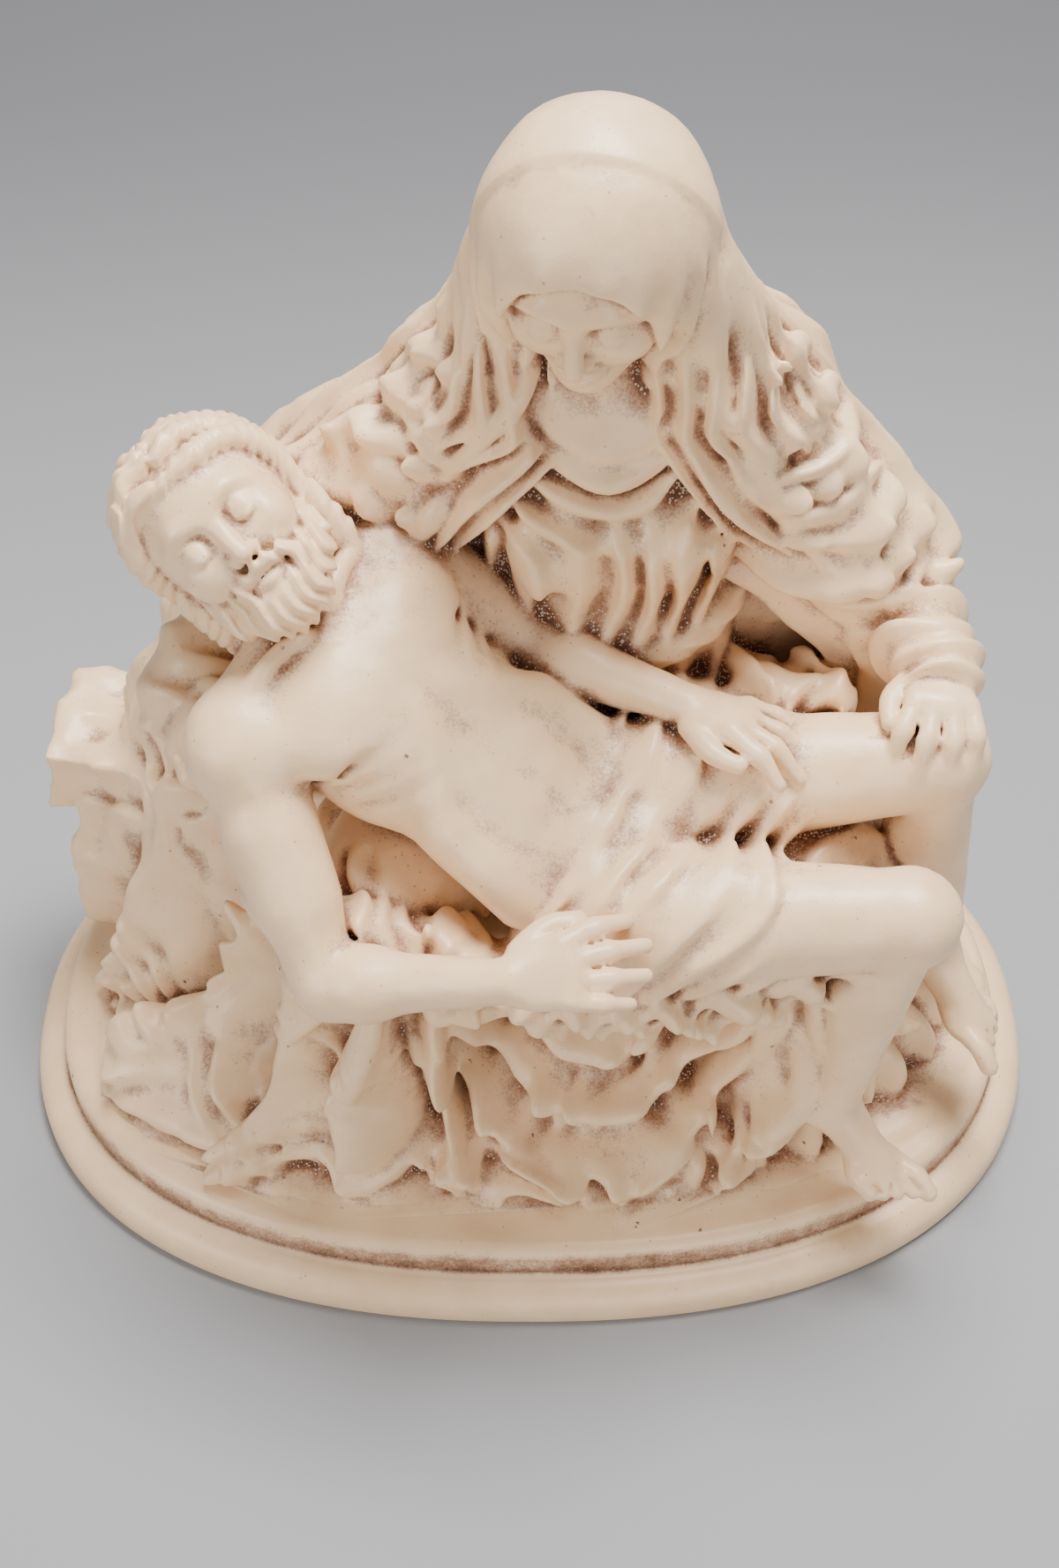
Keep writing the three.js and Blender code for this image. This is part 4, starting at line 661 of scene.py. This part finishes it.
def arm(clay, shoulder, elbow, wrist):
    clay.add(ball(shoulder, 5.4), 3)
    clay.add(limb(shoulder, elbow, 4.5, 3.4), 2)
    clay.add(limb(mix(shoulder, elbow, 0.35), mix(shoulder, elbow, 0.62), 4.5, 4.2), 2)
    clay.add(limb(mix(elbow, wrist, 0.05), wrist, 3.5, 2.2), 1.2)
    clay.add(ball(mix(elbow, wrist, 0.22), 3.7), 2)


def his_body(clay):
    his_torso(clay)
    leg(clay, *FAR_LEG, (1.2, 0, 1))
    foot(clay, FAR_LEG[2], (0.6, -0.65, -0.35), (0.3, -0.1, 1), -1)
    leg(clay, *NEAR_LEG, (1.4, -0.4, 0.8))
    foot(clay, NEAR_LEG[2], (0.62, -0.72, -0.3), (0.1, -0.1, 1), 1)
    arm(clay, *FAR_ARM)
    hand(clay, FAR_ARM[2], (0.8, -0.45, -0.35), (0.1, 0.2, 1), -1)
    arm(clay, *NEAR_ARM)
    hand(clay, NEAR_ARM[2], (0.93, 0.14, 0.06), (-0.05, -0.55, 0.85), 1, 0.35)


def loincloth(clay):
    hips = np.array(NEAR_LEG[0]), np.array(FAR_LEG[0])
    clay.add(egg(HIS_TORSO.at(0, -1, 0.5), (12.6, 9.4, 7.5), HIS_TORSO), 2)
    clay.add(limb(hips[0] + (1, 0, 0.5), hips[0] + (13, -0.5, 1.5), 8.5, 7.6), 2)
    clay.add(limb(hips[1] + (1, 0, 0.5), hips[1] + (12, -0.5, 1.5), 8.2, 7.4), 2)

    def folds(x, y, z):
        run = 0.8 * x - 0.25 * y - 0.55 * z
        phase = 2 * np.pi * run / 3.7 + 2.4 * drift(x, y, z, 19, 4)
        return (0.5 + 0.35 * drift(x, y, z, 11, 6)) * crest(phase) - 0.2

    clay.drape(folds)


def head(clay, h, size):
    """A head in its own place: the origin lies mid-height, 10.4 above the chin and 10.4 below the crown."""

    def at(s, f, u):
        return h.at(s * size, f * size, u * size)

    def r(*radii):
        return [v * size for v in radii]

    clay.add(egg(at(0, -1.2, 2.2), r(7.9, 9.2, 8.2), h), 1)
    clay.add(egg(at(0, 1.2, -2.6), r(6.4, 6.7, 7.8), h), 2.5)
    clay.add(ball(at(0, 5.4, -8.4), 2 * size), 1.6)
    for s in (-1, 1):
        clay.add(limb(at(5 * s, -0.5, -5), at(1 * s, 4.8, -8.4), 2.3 * size, 1.9 * size), 1.6)
        clay.add(ball(at(3.9 * s, 5.1, -2.4), 2.5 * size), 1.8)
        clay.carve(ball(at(3.1 * s, 9, 0.2), 1.9 * size), 1.3)
        brow = [at(0.9 * s, 7.5, 1.8), at(3.2 * s, 7.4, 2.5), at(5.3 * s, 5.9, 1.5)]
        clay.add(stroke(brow, r(0.8, 0.8, 0.6)), 1.2)
        clay.add(ball(at(3.05 * s, 6.5, -0.1), 1.6 * size), 0.4)
        lid = [at(1.7 * s, 7.3, -0.5), at(3.1 * s, 8.05, -1.05), at(4.6 * s, 6.8, -0.6)]
        clay.add(stroke(lid, r(0.22, 0.34, 0.22)), 0.25)
        crease = [at(1.6 * s, 7.7, 0.7), at(3.1 * s, 8.2, 1), at(4.8 * s, 7, 0.5)]
        clay.carve(stroke(crease, r(0.12, 0.2, 0.12)), 0.4)
    clay.add(limb(at(0, 7.5, 1.4), at(0, 9.2, -3.3), 0.75 * size, 1 * size), 0.9)
    for s in (-1, 1):
        clay.add(ball(at(1.05 * s, 8.2, -3.6), 0.72 * size), 0.4)
        clay.carve(ball(at(0.6 * s, 8.85, -4.35), 0.2 * size), 0.3)
    upper_lip = [at(-2, 7.1, -6), at(-0.6, 7.9, -5.6), at(0.6, 7.9, -5.6), at(2, 7.1, -6)]
    clay.add(stroke(upper_lip, r(0.4, 0.55, 0.55, 0.4)), 0.4)
    lower_lip = [at(-1.6, 7.1, -6.8), at(0, 7.8, -7), at(1.6, 7.1, -6.8)]
    clay.add(stroke(lower_lip, r(0.45, 0.7, 0.45)), 0.4)
    mouth = [at(-2.2, 7.6, -6.3), at(0, 8.6, -6.35), at(2.2, 7.6, -6.3)]
    clay.carve(stroke(mouth, r(0.14, 0.2, 0.14)), 0.15)


def his_hair(clay):
    """A cap of hair, and over it wavy locks from a parting in the middle to the ears and the nape."""
    h = HIS_HEAD
    clay.add(egg(h.at(0, -2.2, 2.6), (8.3, 8.9, 8.4), h), 1)
    for s in (-1, 1):
        side = [(7 * s, -0.5, 3), (7.4 * s, -1.5, -3), (7 * s, -3, -8), (5.6 * s, -4.5, -12)]
        clay.add(stroke([h.at(*point) for point in side], [1.4, 1.7, 1.9, 1.2]), 1.5)
    clay.add(stroke([h.at(0, -8, 1), h.at(0, -8.5, -6), h.at(-1, -8, -12)], [5, 5, 3.4]), 3)
    clay.carve(egg(h.at(0, 9.2, -3), (5.9, 8.2, 8), h), 0.8)
    for s in (-1, 1):
        for i in range(LOCKS):
            back = i / (LOCKS - 1)
            tilt = math.radians(57 - 135 * back)
            start = unit((0.07 * s, math.sin(tilt), math.cos(tilt)))
            round_nape = 0.5 * math.pi * back
            end = unit((s * math.cos(round_nape), 0.1 - math.sin(round_nape), -0.25))
            middle = unit(start + end + (0.4 * s * (1 - back), 0, 0.5))
            aside = unit(np.cross(start, end))
            lock = []
            for j in range(6):
                w = j / 5
                out = start * (1 - w) ** 2 + 2 * middle * w * (1 - w) + end * w * w
                out = unit(out + aside * 0.07 * math.sin(6 * w + 2.1 * i + s))
                lock.append(h.at(*(out * (8.2, 9.1, 8.6) + (0, -1.4, 2.2))))
            for drop in (4, 8, 11.5):
                sway_out = 0.6 * math.sin(0.6 * drop + 2.1 * i + s)
                x = s * (7.6 - 0.09 * drop) * math.cos(round_nape) + sway_out
                lock.append(h.at(x, -1 - 8 * math.sin(round_nape) - 0.25 * drop, -drop + 0.3 * sway_out))
            clay.add(stroke(lock, [0.9, 1.3, 1.35, 1.35, 1.3, 1.3, 1.25, 1.1, 0.5]), 0.2)

    def strands(x, y, z):
        return 0.16 * crest(2 * np.pi * (0.8 * x + 0.5 * y - 0.3 * z) / 1.3 + 2.6 * drift(x, y, z, 5, 8))

    clay.drape(strands)


def his_beard(clay):
    h = HIS_HEAD
    clay.add(egg(h.at(0, 4.6, -9.2), (4.2, 3.4, 3.4), h), 1)
    for s in (-1, 1):
        jaw = [h.at(6.2 * s, 1, -3.4), h.at(5.2 * s, 3.4, -7), h.at(2 * s, 5.4, -9.6)]
        clay.add(stroke(jaw, [0.8, 1.9, 2.2]), 1)
        moustache = [h.at(0.3 * s, 8.2, -5), h.at(2.4 * s, 7.3, -5.5), h.at(4.4 * s, 5.4, -6.6)]
        clay.add(stroke(moustache, [0.55, 0.8, 0.6]), 0.5)
        beside_mouth = [h.at(4.6 * s, 4.6, -6), h.at(3.2 * s, 5.8, -7), h.at(1.8 * s, 6.5, -8)]
        clay.add(stroke(beside_mouth, [1, 1.2, 1]), 1)

    def curls(x, y, z):
        px, py, pz = x - h.origin[0], y - h.origin[1], z - h.origin[2]
        s, f, u = (px * w[0] + py * w[1] + pz * w[2] for w in (h.side, h.front, h.up))
        from_mouth = length(s, f - 8, u + 6.6)
        curl = 0.27 * crest(2 * np.pi * s / 1.5 + 1.3 * np.sin(1.1 * u + 0.8 * f))
        return curl * fade(from_mouth, 1.2, 2.6) + 0.12 * drift(x, y, z, 3, 5)

    clay.drape(curls)


body.layer(shroud, 0.6)
body.layer(his_body, 0.5)
body.layer(lambda clay: head(clay, HIS_HEAD, 0.97), 0.8)
body.layer(his_beard, 0.4)
body.layer(his_hair, 0.3)
body.layer(loincloth, 0.4)


# Her hands: the right one closes on his near shoulder and holds him up, the left one lies on his far knee.
# They are carved last of all the limbs, because they lie over him and over the cloth.
def her_hands(clay):
    hand(clay, HER_RIGHT_ARM[2], (0.25, -0.95, 0.15), (-0.8, -0.2, 0.5), 1, 0.7)
    hand(clay, HER_LEFT_ARM[2], (-0.12, -0.95, -0.1), (0.1, 0, 1), -1, 0.75)


body.layer(her_hands, 0.3)


# Her head and the veil: a hood of heavy cloth that is doubled over the crown and has a rolled rim. Its folds
# fall to the shoulders, and the face lies deep in its shade.
def veil(clay):
    h = HER_HEAD
    clay.add(egg(h.at(0, -1.8, 1.4), (10.6, 11.6, 11.4), h), 3)
    clay.add(egg(h.at(0, -4, -5), (10.8, 8.5, 9), h), 3)
    for s in (-1, 1):
        clay.add(limb(h.at(7.6 * s, -2, -5), (8 + 9 * s, 6, 87), 4, 5), 3)
        clay.add(limb((8 + 9 * s, 6, 87), (8 + 15 * s, 8, 82), 5, 5), 3)
    for s in (-1, 1):
        inner = [(6.8, 4.5, 92), (6.8, 3.6, 85), (12, 3, 77), (18, 5, 68)]
        clay.add(stroke([(7.5 + out * s, y, z) for out, y, z in inner], [2.4, 2.6, 2.6, 1.4]), 2)

    def folds(x, y, z):
        turn = np.arctan2(y - 5, x - 6)
        falling = 0.8 * crest(19 * turn + 1.6 * drift(x, y, z, 24, 3)) * fade(z, 109, 97)
        out = np.abs(x - 7.5) - 6.8
        spread = fade(z, 88, 82)
        run = out * (1 - 0.18 * spread) + 0.57 * (z - 85) * spread
        hanging = 0.75 * crest(2 * np.pi * run / 2.7 + 1.4 * drift(x, y, z, 13, 7))
        in_front = fade(y, 8, 5) * fade(z, 97, 91)
        behind = (x - 6) * 0.1 + (y + 1) * 0.8 + (z - 112) * 0.45 + 0.8 * drift(x, y, z, 30, 2)
        doubled = 0.45 * fade(behind, -0.5, 0.5) + 0.15 * drift(x, y, z, 12, 4)
        return falling * (1 - in_front) + hanging * in_front + doubled

    clay.drape(folds)
    clay.carve(egg(h.at(0, 10.5, -3.6), (7.4, 11.5, 10.2), h), 0.8)
    clay.carve(egg(h.at(0, 9, -12), (6.6, 9, 8), h), 0.8)
    for deep, radius in ((0, 1.25), (-2.6, 0.8)):
        rim = []
        for i in range(9):
            turn = (i - 4) / 4 * 2.35
            out = 8.1 - 0.55 * deep
            wavy = 0.25 * np.sin(2.4 * i + 0.7)
            forward = 3 + 2.2 * math.cos(turn) + deep + wavy
            rim.append(h.at(out * math.sin(turn), forward, -3 + (out + 2) * math.cos(turn)))
        left_fall = [(-10, 4.5, 76), (-4.5, 1.6, 84), (-1, 1.5, 89)]
        right_fall = [(16.5, 1.5, 89), (20.5, 1.6, 84), (26, 4.5, 76)]
        rim = [*left_fall, *rim, *right_fall]
        clay.add(stroke(rim, [0.6 * radius, radius, radius, radius, 0.6 * radius]), 0.7)


def lumps(x, y, z, size):
    """Shallow rounded unevenness, as a hand leaves in clay, from about -1 to 1."""
    bent = 1.6 * drift(x, y, z, 3.1 * size, 1)
    return drift(x + bent, y - bent, z + bent, size, 2) * drift(x - bent, y, z, 1.7 * size, 6)


body.layer(veil, 0.6)
body.layer(lambda clay: head(clay, HER_HEAD, 1), 0.5)
body.drape(lambda x, y, z: 0.09 * lumps(x, y, z, 7) + 0.04 * lumps(x, y, z, 3.4))


# The plinth: a low oval in two tiers, each with a rounded edge, and a step between them. It is cast in one
# with the group and its underside is ground flat, so that the statue stands on it.
MM = 0.001
PLINTH_LENGTH = 122
PLINTH_DEPTH = 82
PLINTH_HEIGHT = 9
LOWER_TIER_HEIGHT = 5
LOWER_TIER_ROUNDING = 2.8
TIER_STEP = 1.1
UPPER_TIER_ROUNDING = 1.6
FOOT_CHAMFER = 0.7
OVAL_FULLNESS = 2.3  # 2 would be an ellipse, more is squarer
OVAL_CORNERS = 200


def round_edge(radius, steps):
    """Takes the top face in and up, step by step, round the quarter turn of an edge."""
    for i in range(steps):
        a, b = (math.pi / 2 * k / steps for k in (i, i + 1))
        bpy.ops.mesh.inset(
            thickness=radius * (math.cos(a) - math.cos(b)) * MM,
            depth=radius * (math.sin(b) - math.sin(a)) * MM,
        )


def raise_top(height):
    bpy.ops.mesh.extrude_region_move(TRANSFORM_OT_translate={"value": (0, 0, height * MM)})


bpy.ops.object.select_all(action="DESELECT")
bpy.ops.mesh.primitive_circle_add(vertices=OVAL_CORNERS, radius=1, fill_type="NGON")
plinth = bpy.context.object
plinth.name = "plinth"
for vertex in plinth.data.vertices:
    c, s, _ = vertex.co
    vertex.co.x = PLINTH_LENGTH / 2 * MM * math.copysign(abs(c) ** (2 / OVAL_FULLNESS), c)
    vertex.co.y = PLINTH_DEPTH / 2 * MM * math.copysign(abs(s) ** (2 / OVAL_FULLNESS), s)
bpy.ops.object.mode_set(mode="EDIT")
bpy.ops.mesh.select_all(action="SELECT")
raise_top(LOWER_TIER_HEIGHT - LOWER_TIER_ROUNDING)
round_edge(LOWER_TIER_ROUNDING, steps=8)
bpy.ops.mesh.inset(thickness=TIER_STEP * MM)
raise_top(PLINTH_HEIGHT - LOWER_TIER_HEIGHT - UPPER_TIER_ROUNDING)
round_edge(UPPER_TIER_ROUNDING, steps=6)
bpy.ops.mesh.select_all(action="DESELECT")
bpy.ops.mesh.select_mode(type="FACE")
shell = bmesh.from_edit_mesh(plinth.data)
for face in shell.faces:
    face.select_set(all(abs(v.co.z) < 1e-7 for v in face.verts))
bmesh.update_edit_mesh(plinth.data)
bpy.ops.mesh.bevel(offset=FOOT_CHAMFER * MM, segments=2)
bpy.ops.mesh.select_all(action="SELECT")
bpy.ops.mesh.normals_make_consistent(inside=False)
bpy.ops.object.mode_set(mode="OBJECT")


# The casting: the group and the plinth come out of the mould as one solid piece of resin, cream right
# through. A thin brown patina is brushed over it and wiped off again, and stays in all that lies deep.
TRIANGLES = 190000  # how many the group keeps when its skin is thinned
corners, faces = body.skin()
unit_size = (cad_high.z * 1000 - PLINTH_HEIGHT) / corners[:, 2].max()
mesh = bpy.data.meshes.new("group")
mesh.from_pydata(((corners * unit_size + (0, 0, PLINTH_HEIGHT)) * MM).tolist(), [], faces)
group = bpy.data.objects.new("group", mesh)
bpy.context.collection.objects.link(group)


def apply_modifier(piece, kind, **settings):
    bpy.ops.object.select_all(action="DESELECT")
    piece.select_set(True)
    bpy.context.view_layer.objects.active = piece
    modifier = piece.modifiers.new(kind.lower(), kind)
    for name, value in settings.items():
        setattr(modifier, name, value)
    bpy.ops.object.modifier_apply(modifier=modifier.name)


triangles = sum(len(f) - 2 for f in faces)
apply_modifier(group, "DECIMATE", ratio=min(1, TRIANGLES / triangles))
apply_modifier(plinth, "BOOLEAN", operation="UNION", solver="MANIFOLD", object=group)
casting = plinth
casting.name = casting.data.name = "statue_casting"
bpy.data.objects.remove(group)


def blurred(full, cells):
    """How full of stone the neighbourhood of each cell is, within about a number of cells."""
    for axis in range(3):
        for _ in range(3):
            width = 2 * cells + 1
            pad = [(0, 0)] * 3
            pad[axis] = (cells + 1, cells)
            total = np.cumsum(np.pad(full, pad, mode="edge"), axis=axis, dtype=np.float32)
            front_end = [slice(None)] * 3
            back_end = [slice(None)] * 3
            front_end[axis] = slice(width, None)
            back_end[axis] = slice(0, -width)
            full = (total[tuple(front_end)] - total[tuple(back_end)]) / width
    return full


DEPTH_CELL = 0.5  # the spacing of the coarser grid that the folds are measured on
DEPTH_BOX = ((-70, 70), (-50, 50), (-12, 128))  # and where it reaches
NEIGHBOURHOODS = (1, 3, 9)  # in cells: how far round a corner to look for folds of each breadth
RIM = 3  # how far inside the plinth's edge the stone below the group is taken to end


def depth_in_folds(mesh):
    """For each corner of a mesh, how deep it lies in folds that are narrow, middling and broad."""
    axes = [np.arange(a, b, DEPTH_CELL) for a, b in DEPTH_BOX]
    places = [np.abs(a[:, None] - c[None, :]).argmin(1) for a, c in zip(axes, body.axes)]
    stone = (body.values[np.ix_(*places)] < 0).astype(np.float32)
    for axis, (a, c) in enumerate(zip(axes, body.axes)):
        outside = [slice(None)] * 3
        outside[axis] = (a < c[0]) | (a > c[-1])
        stone[tuple(outside)] = 0
    oval = (
        np.abs(axes[0][:, None] * unit_size / (PLINTH_LENGTH / 2 - RIM)) ** OVAL_FULLNESS
        + np.abs(axes[1][None, :] * unit_size / (PLINTH_DEPTH / 2 - RIM)) ** OVAL_FULLNESS
    ) < 1
    stone[:, :, axes[2] < 0] = oval[:, :, None]
    points = np.empty(len(mesh.vertices) * 3)
    mesh.vertices.foreach_get("co", points)
    points = (points.reshape(-1, 3) / MM - (0, 0, PLINTH_HEIGHT)) / unit_size
    at = [(points[:, i] - axes[i][0]) / DEPTH_CELL for i in range(3)]
    base = [np.clip(g.astype(int), 0, len(a) - 2) for g, a in zip(at, axes)]
    share = [g - b for g, b in zip(at, base)]
    depths = []
    for cells in NEIGHBOURHOODS:
        near = blurred(stone, cells)
        total = 0
        for corner in range(8):
            offset = [corner & 1, corner >> 1 & 1, corner >> 2]
            w = [v if c else 1 - v for v, c in zip(share, offset)]
            total = total + w[0] * w[1] * w[2] * near[tuple(b + c for b, c in zip(base, offset))]
        depths.append(total)
    return np.stack(depths, axis=1)


depths = depth_in_folds(casting.data)
attribute = casting.data.attributes.new("depths", "FLOAT_VECTOR", "POINT")
attribute.data.foreach_set("vector", depths.astype(np.float32).ravel())
casting.data.polygons.foreach_set("use_smooth", [True] * len(casting.data.polygons))

resin = bpy.data.materials.new("marble_resin")
resin.use_nodes = True
nodes, links = resin.node_tree.nodes, resin.node_tree.links
shader = nodes["Principled BSDF"]


def node(kind, **settings):
    made = nodes.new("ShaderNode" + kind)
    for name, value in settings.items():
        if name in made.inputs:
            made.inputs[name].default_value = value
        else:
            setattr(made, name, value)
    return made


def join(source, target, socket):
    links.new(source, target.inputs[socket])


def ramp(source, start, end, low=0.0, high=1.0):
    made = node("MapRange", interpolation_type="SMOOTHSTEP")
    for name, value in zip(("From Min", "From Max", "To Min", "To Max"), (start, end, low, high)):
        made.inputs[name].default_value = value
    join(source, made, "Value")
    return made.outputs["Result"]


def math_of(operation, a, b):
    made = node("Math", operation=operation)
    for i, value in enumerate((a, b)):
        if isinstance(value, (int, float)):
            made.inputs[i].default_value = value
        else:
            links.new(value, made.inputs[i])
    return made.outputs[0]


def blend_colours(share, a, b):
    made = node("Mix", data_type="RGBA")
    join(share, made, "Factor")
    for socket, value in ((6, a), (7, b)):
        if isinstance(value, tuple):
            made.inputs[socket].default_value = (*value, 1)
        else:
            links.new(value, made.inputs[socket])
    return made.outputs[2]


def noise(scale, detail, roughness=0.6):
    made = node("TexNoise", Scale=scale, Detail=detail, Roughness=roughness)
    join(place, made, "Vector")
    return math_of("SUBTRACT", made.outputs["Fac"], 0.5)


def total(*terms):
    """Adds up values, each given with how much of it counts."""
    added = None
    for source, share in terms:
        part = math_of("MULTIPLY", source, share)
        added = part if added is None else math_of("ADD", added, part)
    return added


place = node("TexCoord").outputs["Object"]
depth_node = node("Attribute", attribute_name="depths", attribute_type="GEOMETRY")
split = node("SeparateXYZ")
join(depth_node.outputs["Vector"], split, 0)
narrow, middling, broad = split.outputs

IVORY = (0.92, 0.65, 0.385)
CREAM = (0.84, 0.575, 0.325)
TAN = (0.60, 0.40, 0.255)
BROWN = (0.35, 0.17, 0.085)
DEEP_BROWN = (0.13, 0.045, 0.018)
GRAIN = (0.72, 0.56, 0.40)
clouds = noise(150, 3)
wisps = noise(700, 3)
grit = noise(3600, 1, 0.7)
heights = node("SeparateXYZ")
join(place, heights, 0)
on_plinth = ramp(heights.outputs["Z"], (PLINTH_HEIGHT + 0.5) * MM, (PLINTH_HEIGHT - 1.5) * MM)
uneven = ((clouds, 0.16), (wisps, 0.16), (grit, 0.16))
fold = total((narrow, 0.55), (middling, 0.45), *uneven, (on_plinth, -0.1))
hollow = total((middling, 0.35), (broad, 0.65), (clouds, 0.30), (wisps, 0.08))
colour = blend_colours(ramp(clouds, -0.2, 0.2), IVORY, CREAM)
for depth, start, end, most, patina in (
    (hollow, 0.53, 0.74, 0.75, TAN),
    (hollow, 0.66, 0.86, 0.75, BROWN),
    (fold, 0.515, 0.61, 0.9, TAN),
    (fold, 0.565, 0.67, 0.9, BROWN),
    (fold, 0.63, 0.75, 0.95, DEEP_BROWN),
):
    colour = blend_colours(ramp(depth, start, end, 0, most), colour, patina)


def specks(scale, size, keep, where):
    """Tiny spots: the middles of some of the cells of a Voronoi pattern, where a value lets them be."""
    cells = node("TexVoronoi", Scale=scale, feature="F1", distance="EUCLIDEAN")
    join(place, cells, "Vector")
    chance = node("SeparateColor")
    join(cells.outputs["Color"], chance, 0)
    spot = ramp(total((cells.outputs["Distance"], 1), (grit, 0.25)), size, 0.5 * size)
    picked = math_of("LESS_THAN", chance.outputs[0], total((where, keep)))
    return math_of("MULTIPLY", spot, picked)


pinholes = specks(1700, 0.26, 0.7, ramp(hollow, 0.50, 0.70, 0.04, 1))
colour = blend_colours(math_of("MULTIPLY", pinholes, 0.6), colour, BROWN)
dots = specks(420, 0.1, 0.26, ramp(hollow, 0.40, 0.6, 0.25, 1))
colour = blend_colours(math_of("MULTIPLY", dots, 0.85), colour, DEEP_BROWN)
sand = specks(3400, 0.5, 0.75, ramp(total((fold, 0.6), (hollow, 0.4)), 0.64, 0.76))
colour = blend_colours(sand, colour, GRAIN)
join(colour, shader, "Base Color")
join(ramp(fold, 0.5, 0.75, 0.36, 0.75), shader, "Roughness")
bump = node("Bump", Strength=0.5, Distance=0.0001)
join(total((wisps, 0.8), (grit, ramp(middling, 0.5, 0.8, 0.3, 1.2))), bump, "Height")
join(bump.outputs["Normal"], shader, "Normal")
shader.inputs["Subsurface Weight"].default_value = 0.15
shader.inputs["Subsurface Radius"].default_value = (1.0, 0.5, 0.3)
shader.inputs["Subsurface Scale"].default_value = 0.0015
casting.data.materials.clear()
casting.data.materials.append(resin)
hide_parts("pieta_statue")
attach(casting, "root")


# The studio: a pale matt table whose colour is painted darker towards the back as painted shade, where the
# light falls off, and broad soft light from above.
# The camera stands in front and looks down on the group at 48 degrees, as the photograph does.
bpy.ops.object.select_all(action="DESELECT")
bpy.ops.mesh.primitive_plane_add(size=10, location=(0, 0, 0))
floor = bpy.context.object
floor.name = "studio_floor"
paper = bpy.data.materials.new("studio_paper")
paper.use_nodes = True
nodes, links = paper.node_tree.nodes, paper.node_tree.links  # from here nodes are made for the paper
place = node("TexCoord").outputs["Object"]
apart = node("SeparateXYZ")
join(place, apart, 0)
# Painted shade: the table's colour goes from pale grey to a darker grey towards the back, in place of the
# light falling off there.
painted_shade_to_back = blend_colours(ramp(apart.outputs["Y"], 0.03, 0.24), (0.31, 0.31, 0.315), (0.17, 0.17, 0.175))
join(painted_shade_to_back, nodes["Principled BSDF"], "Base Color")
nodes["Principled BSDF"].inputs["Roughness"].default_value = 0.8
floor.data.materials.append(paper)
LAMP_AIM = Vector((0, 0, 0.05))


def lamp(name, stand, size, watts):
    light = bpy.data.lights.new(name, "AREA")
    light.shape = "RECTANGLE"
    light.size, light.size_y = size
    light.energy = watts
    holder = bpy.data.objects.new(name, light)
    holder.location = stand
    holder.rotation_euler = (LAMP_AIM - Vector(stand)).to_track_quat("-Z", "Y").to_euler()
    bpy.context.collection.objects.link(holder)


lamp("window_above", (0.06, 0.09, 0.50), (0.26, 0.20), 5.7)
lamp("room_left", (-0.46, -0.38, 0.30), (0.3, 0.3), 2.0)
lamp("room_front", (0.2, -0.6, 0.15), (0.4, 0.3), 1.6)
sky = bpy.data.worlds.new("studio")
bpy.context.scene.world = sky
sky.use_nodes = True
daylight = sky.node_tree.nodes["Background"].inputs
daylight["Color"].default_value = (0.9, 0.92, 1.0, 1)
daylight["Strength"].default_value = 0.26

AIM = Vector((0, 0, 0.046))
LOOKING_DOWN = math.radians(48)
DISTANCE = 0.2233
FOCAL_LENGTH = 2300  # in the photograph's pixels
PHOTO_HEIGHT = 1777
SENSOR_HEIGHT = 24
camera = bpy.data.objects.new("camera", bpy.data.cameras.new("camera"))
bpy.context.collection.objects.link(camera)
back = Vector((0, -math.cos(LOOKING_DOWN), math.sin(LOOKING_DOWN)))
camera.location = AIM + back * DISTANCE
camera.rotation_euler = (-back).to_track_quat("-Z", "Y").to_euler()
camera.data.sensor_fit = "VERTICAL"
camera.data.sensor_height = SENSOR_HEIGHT
camera.data.lens = FOCAL_LENGTH / PHOTO_HEIGHT * SENSOR_HEIGHT
camera.data.clip_start = 0.005
bpy.context.scene.camera = camera
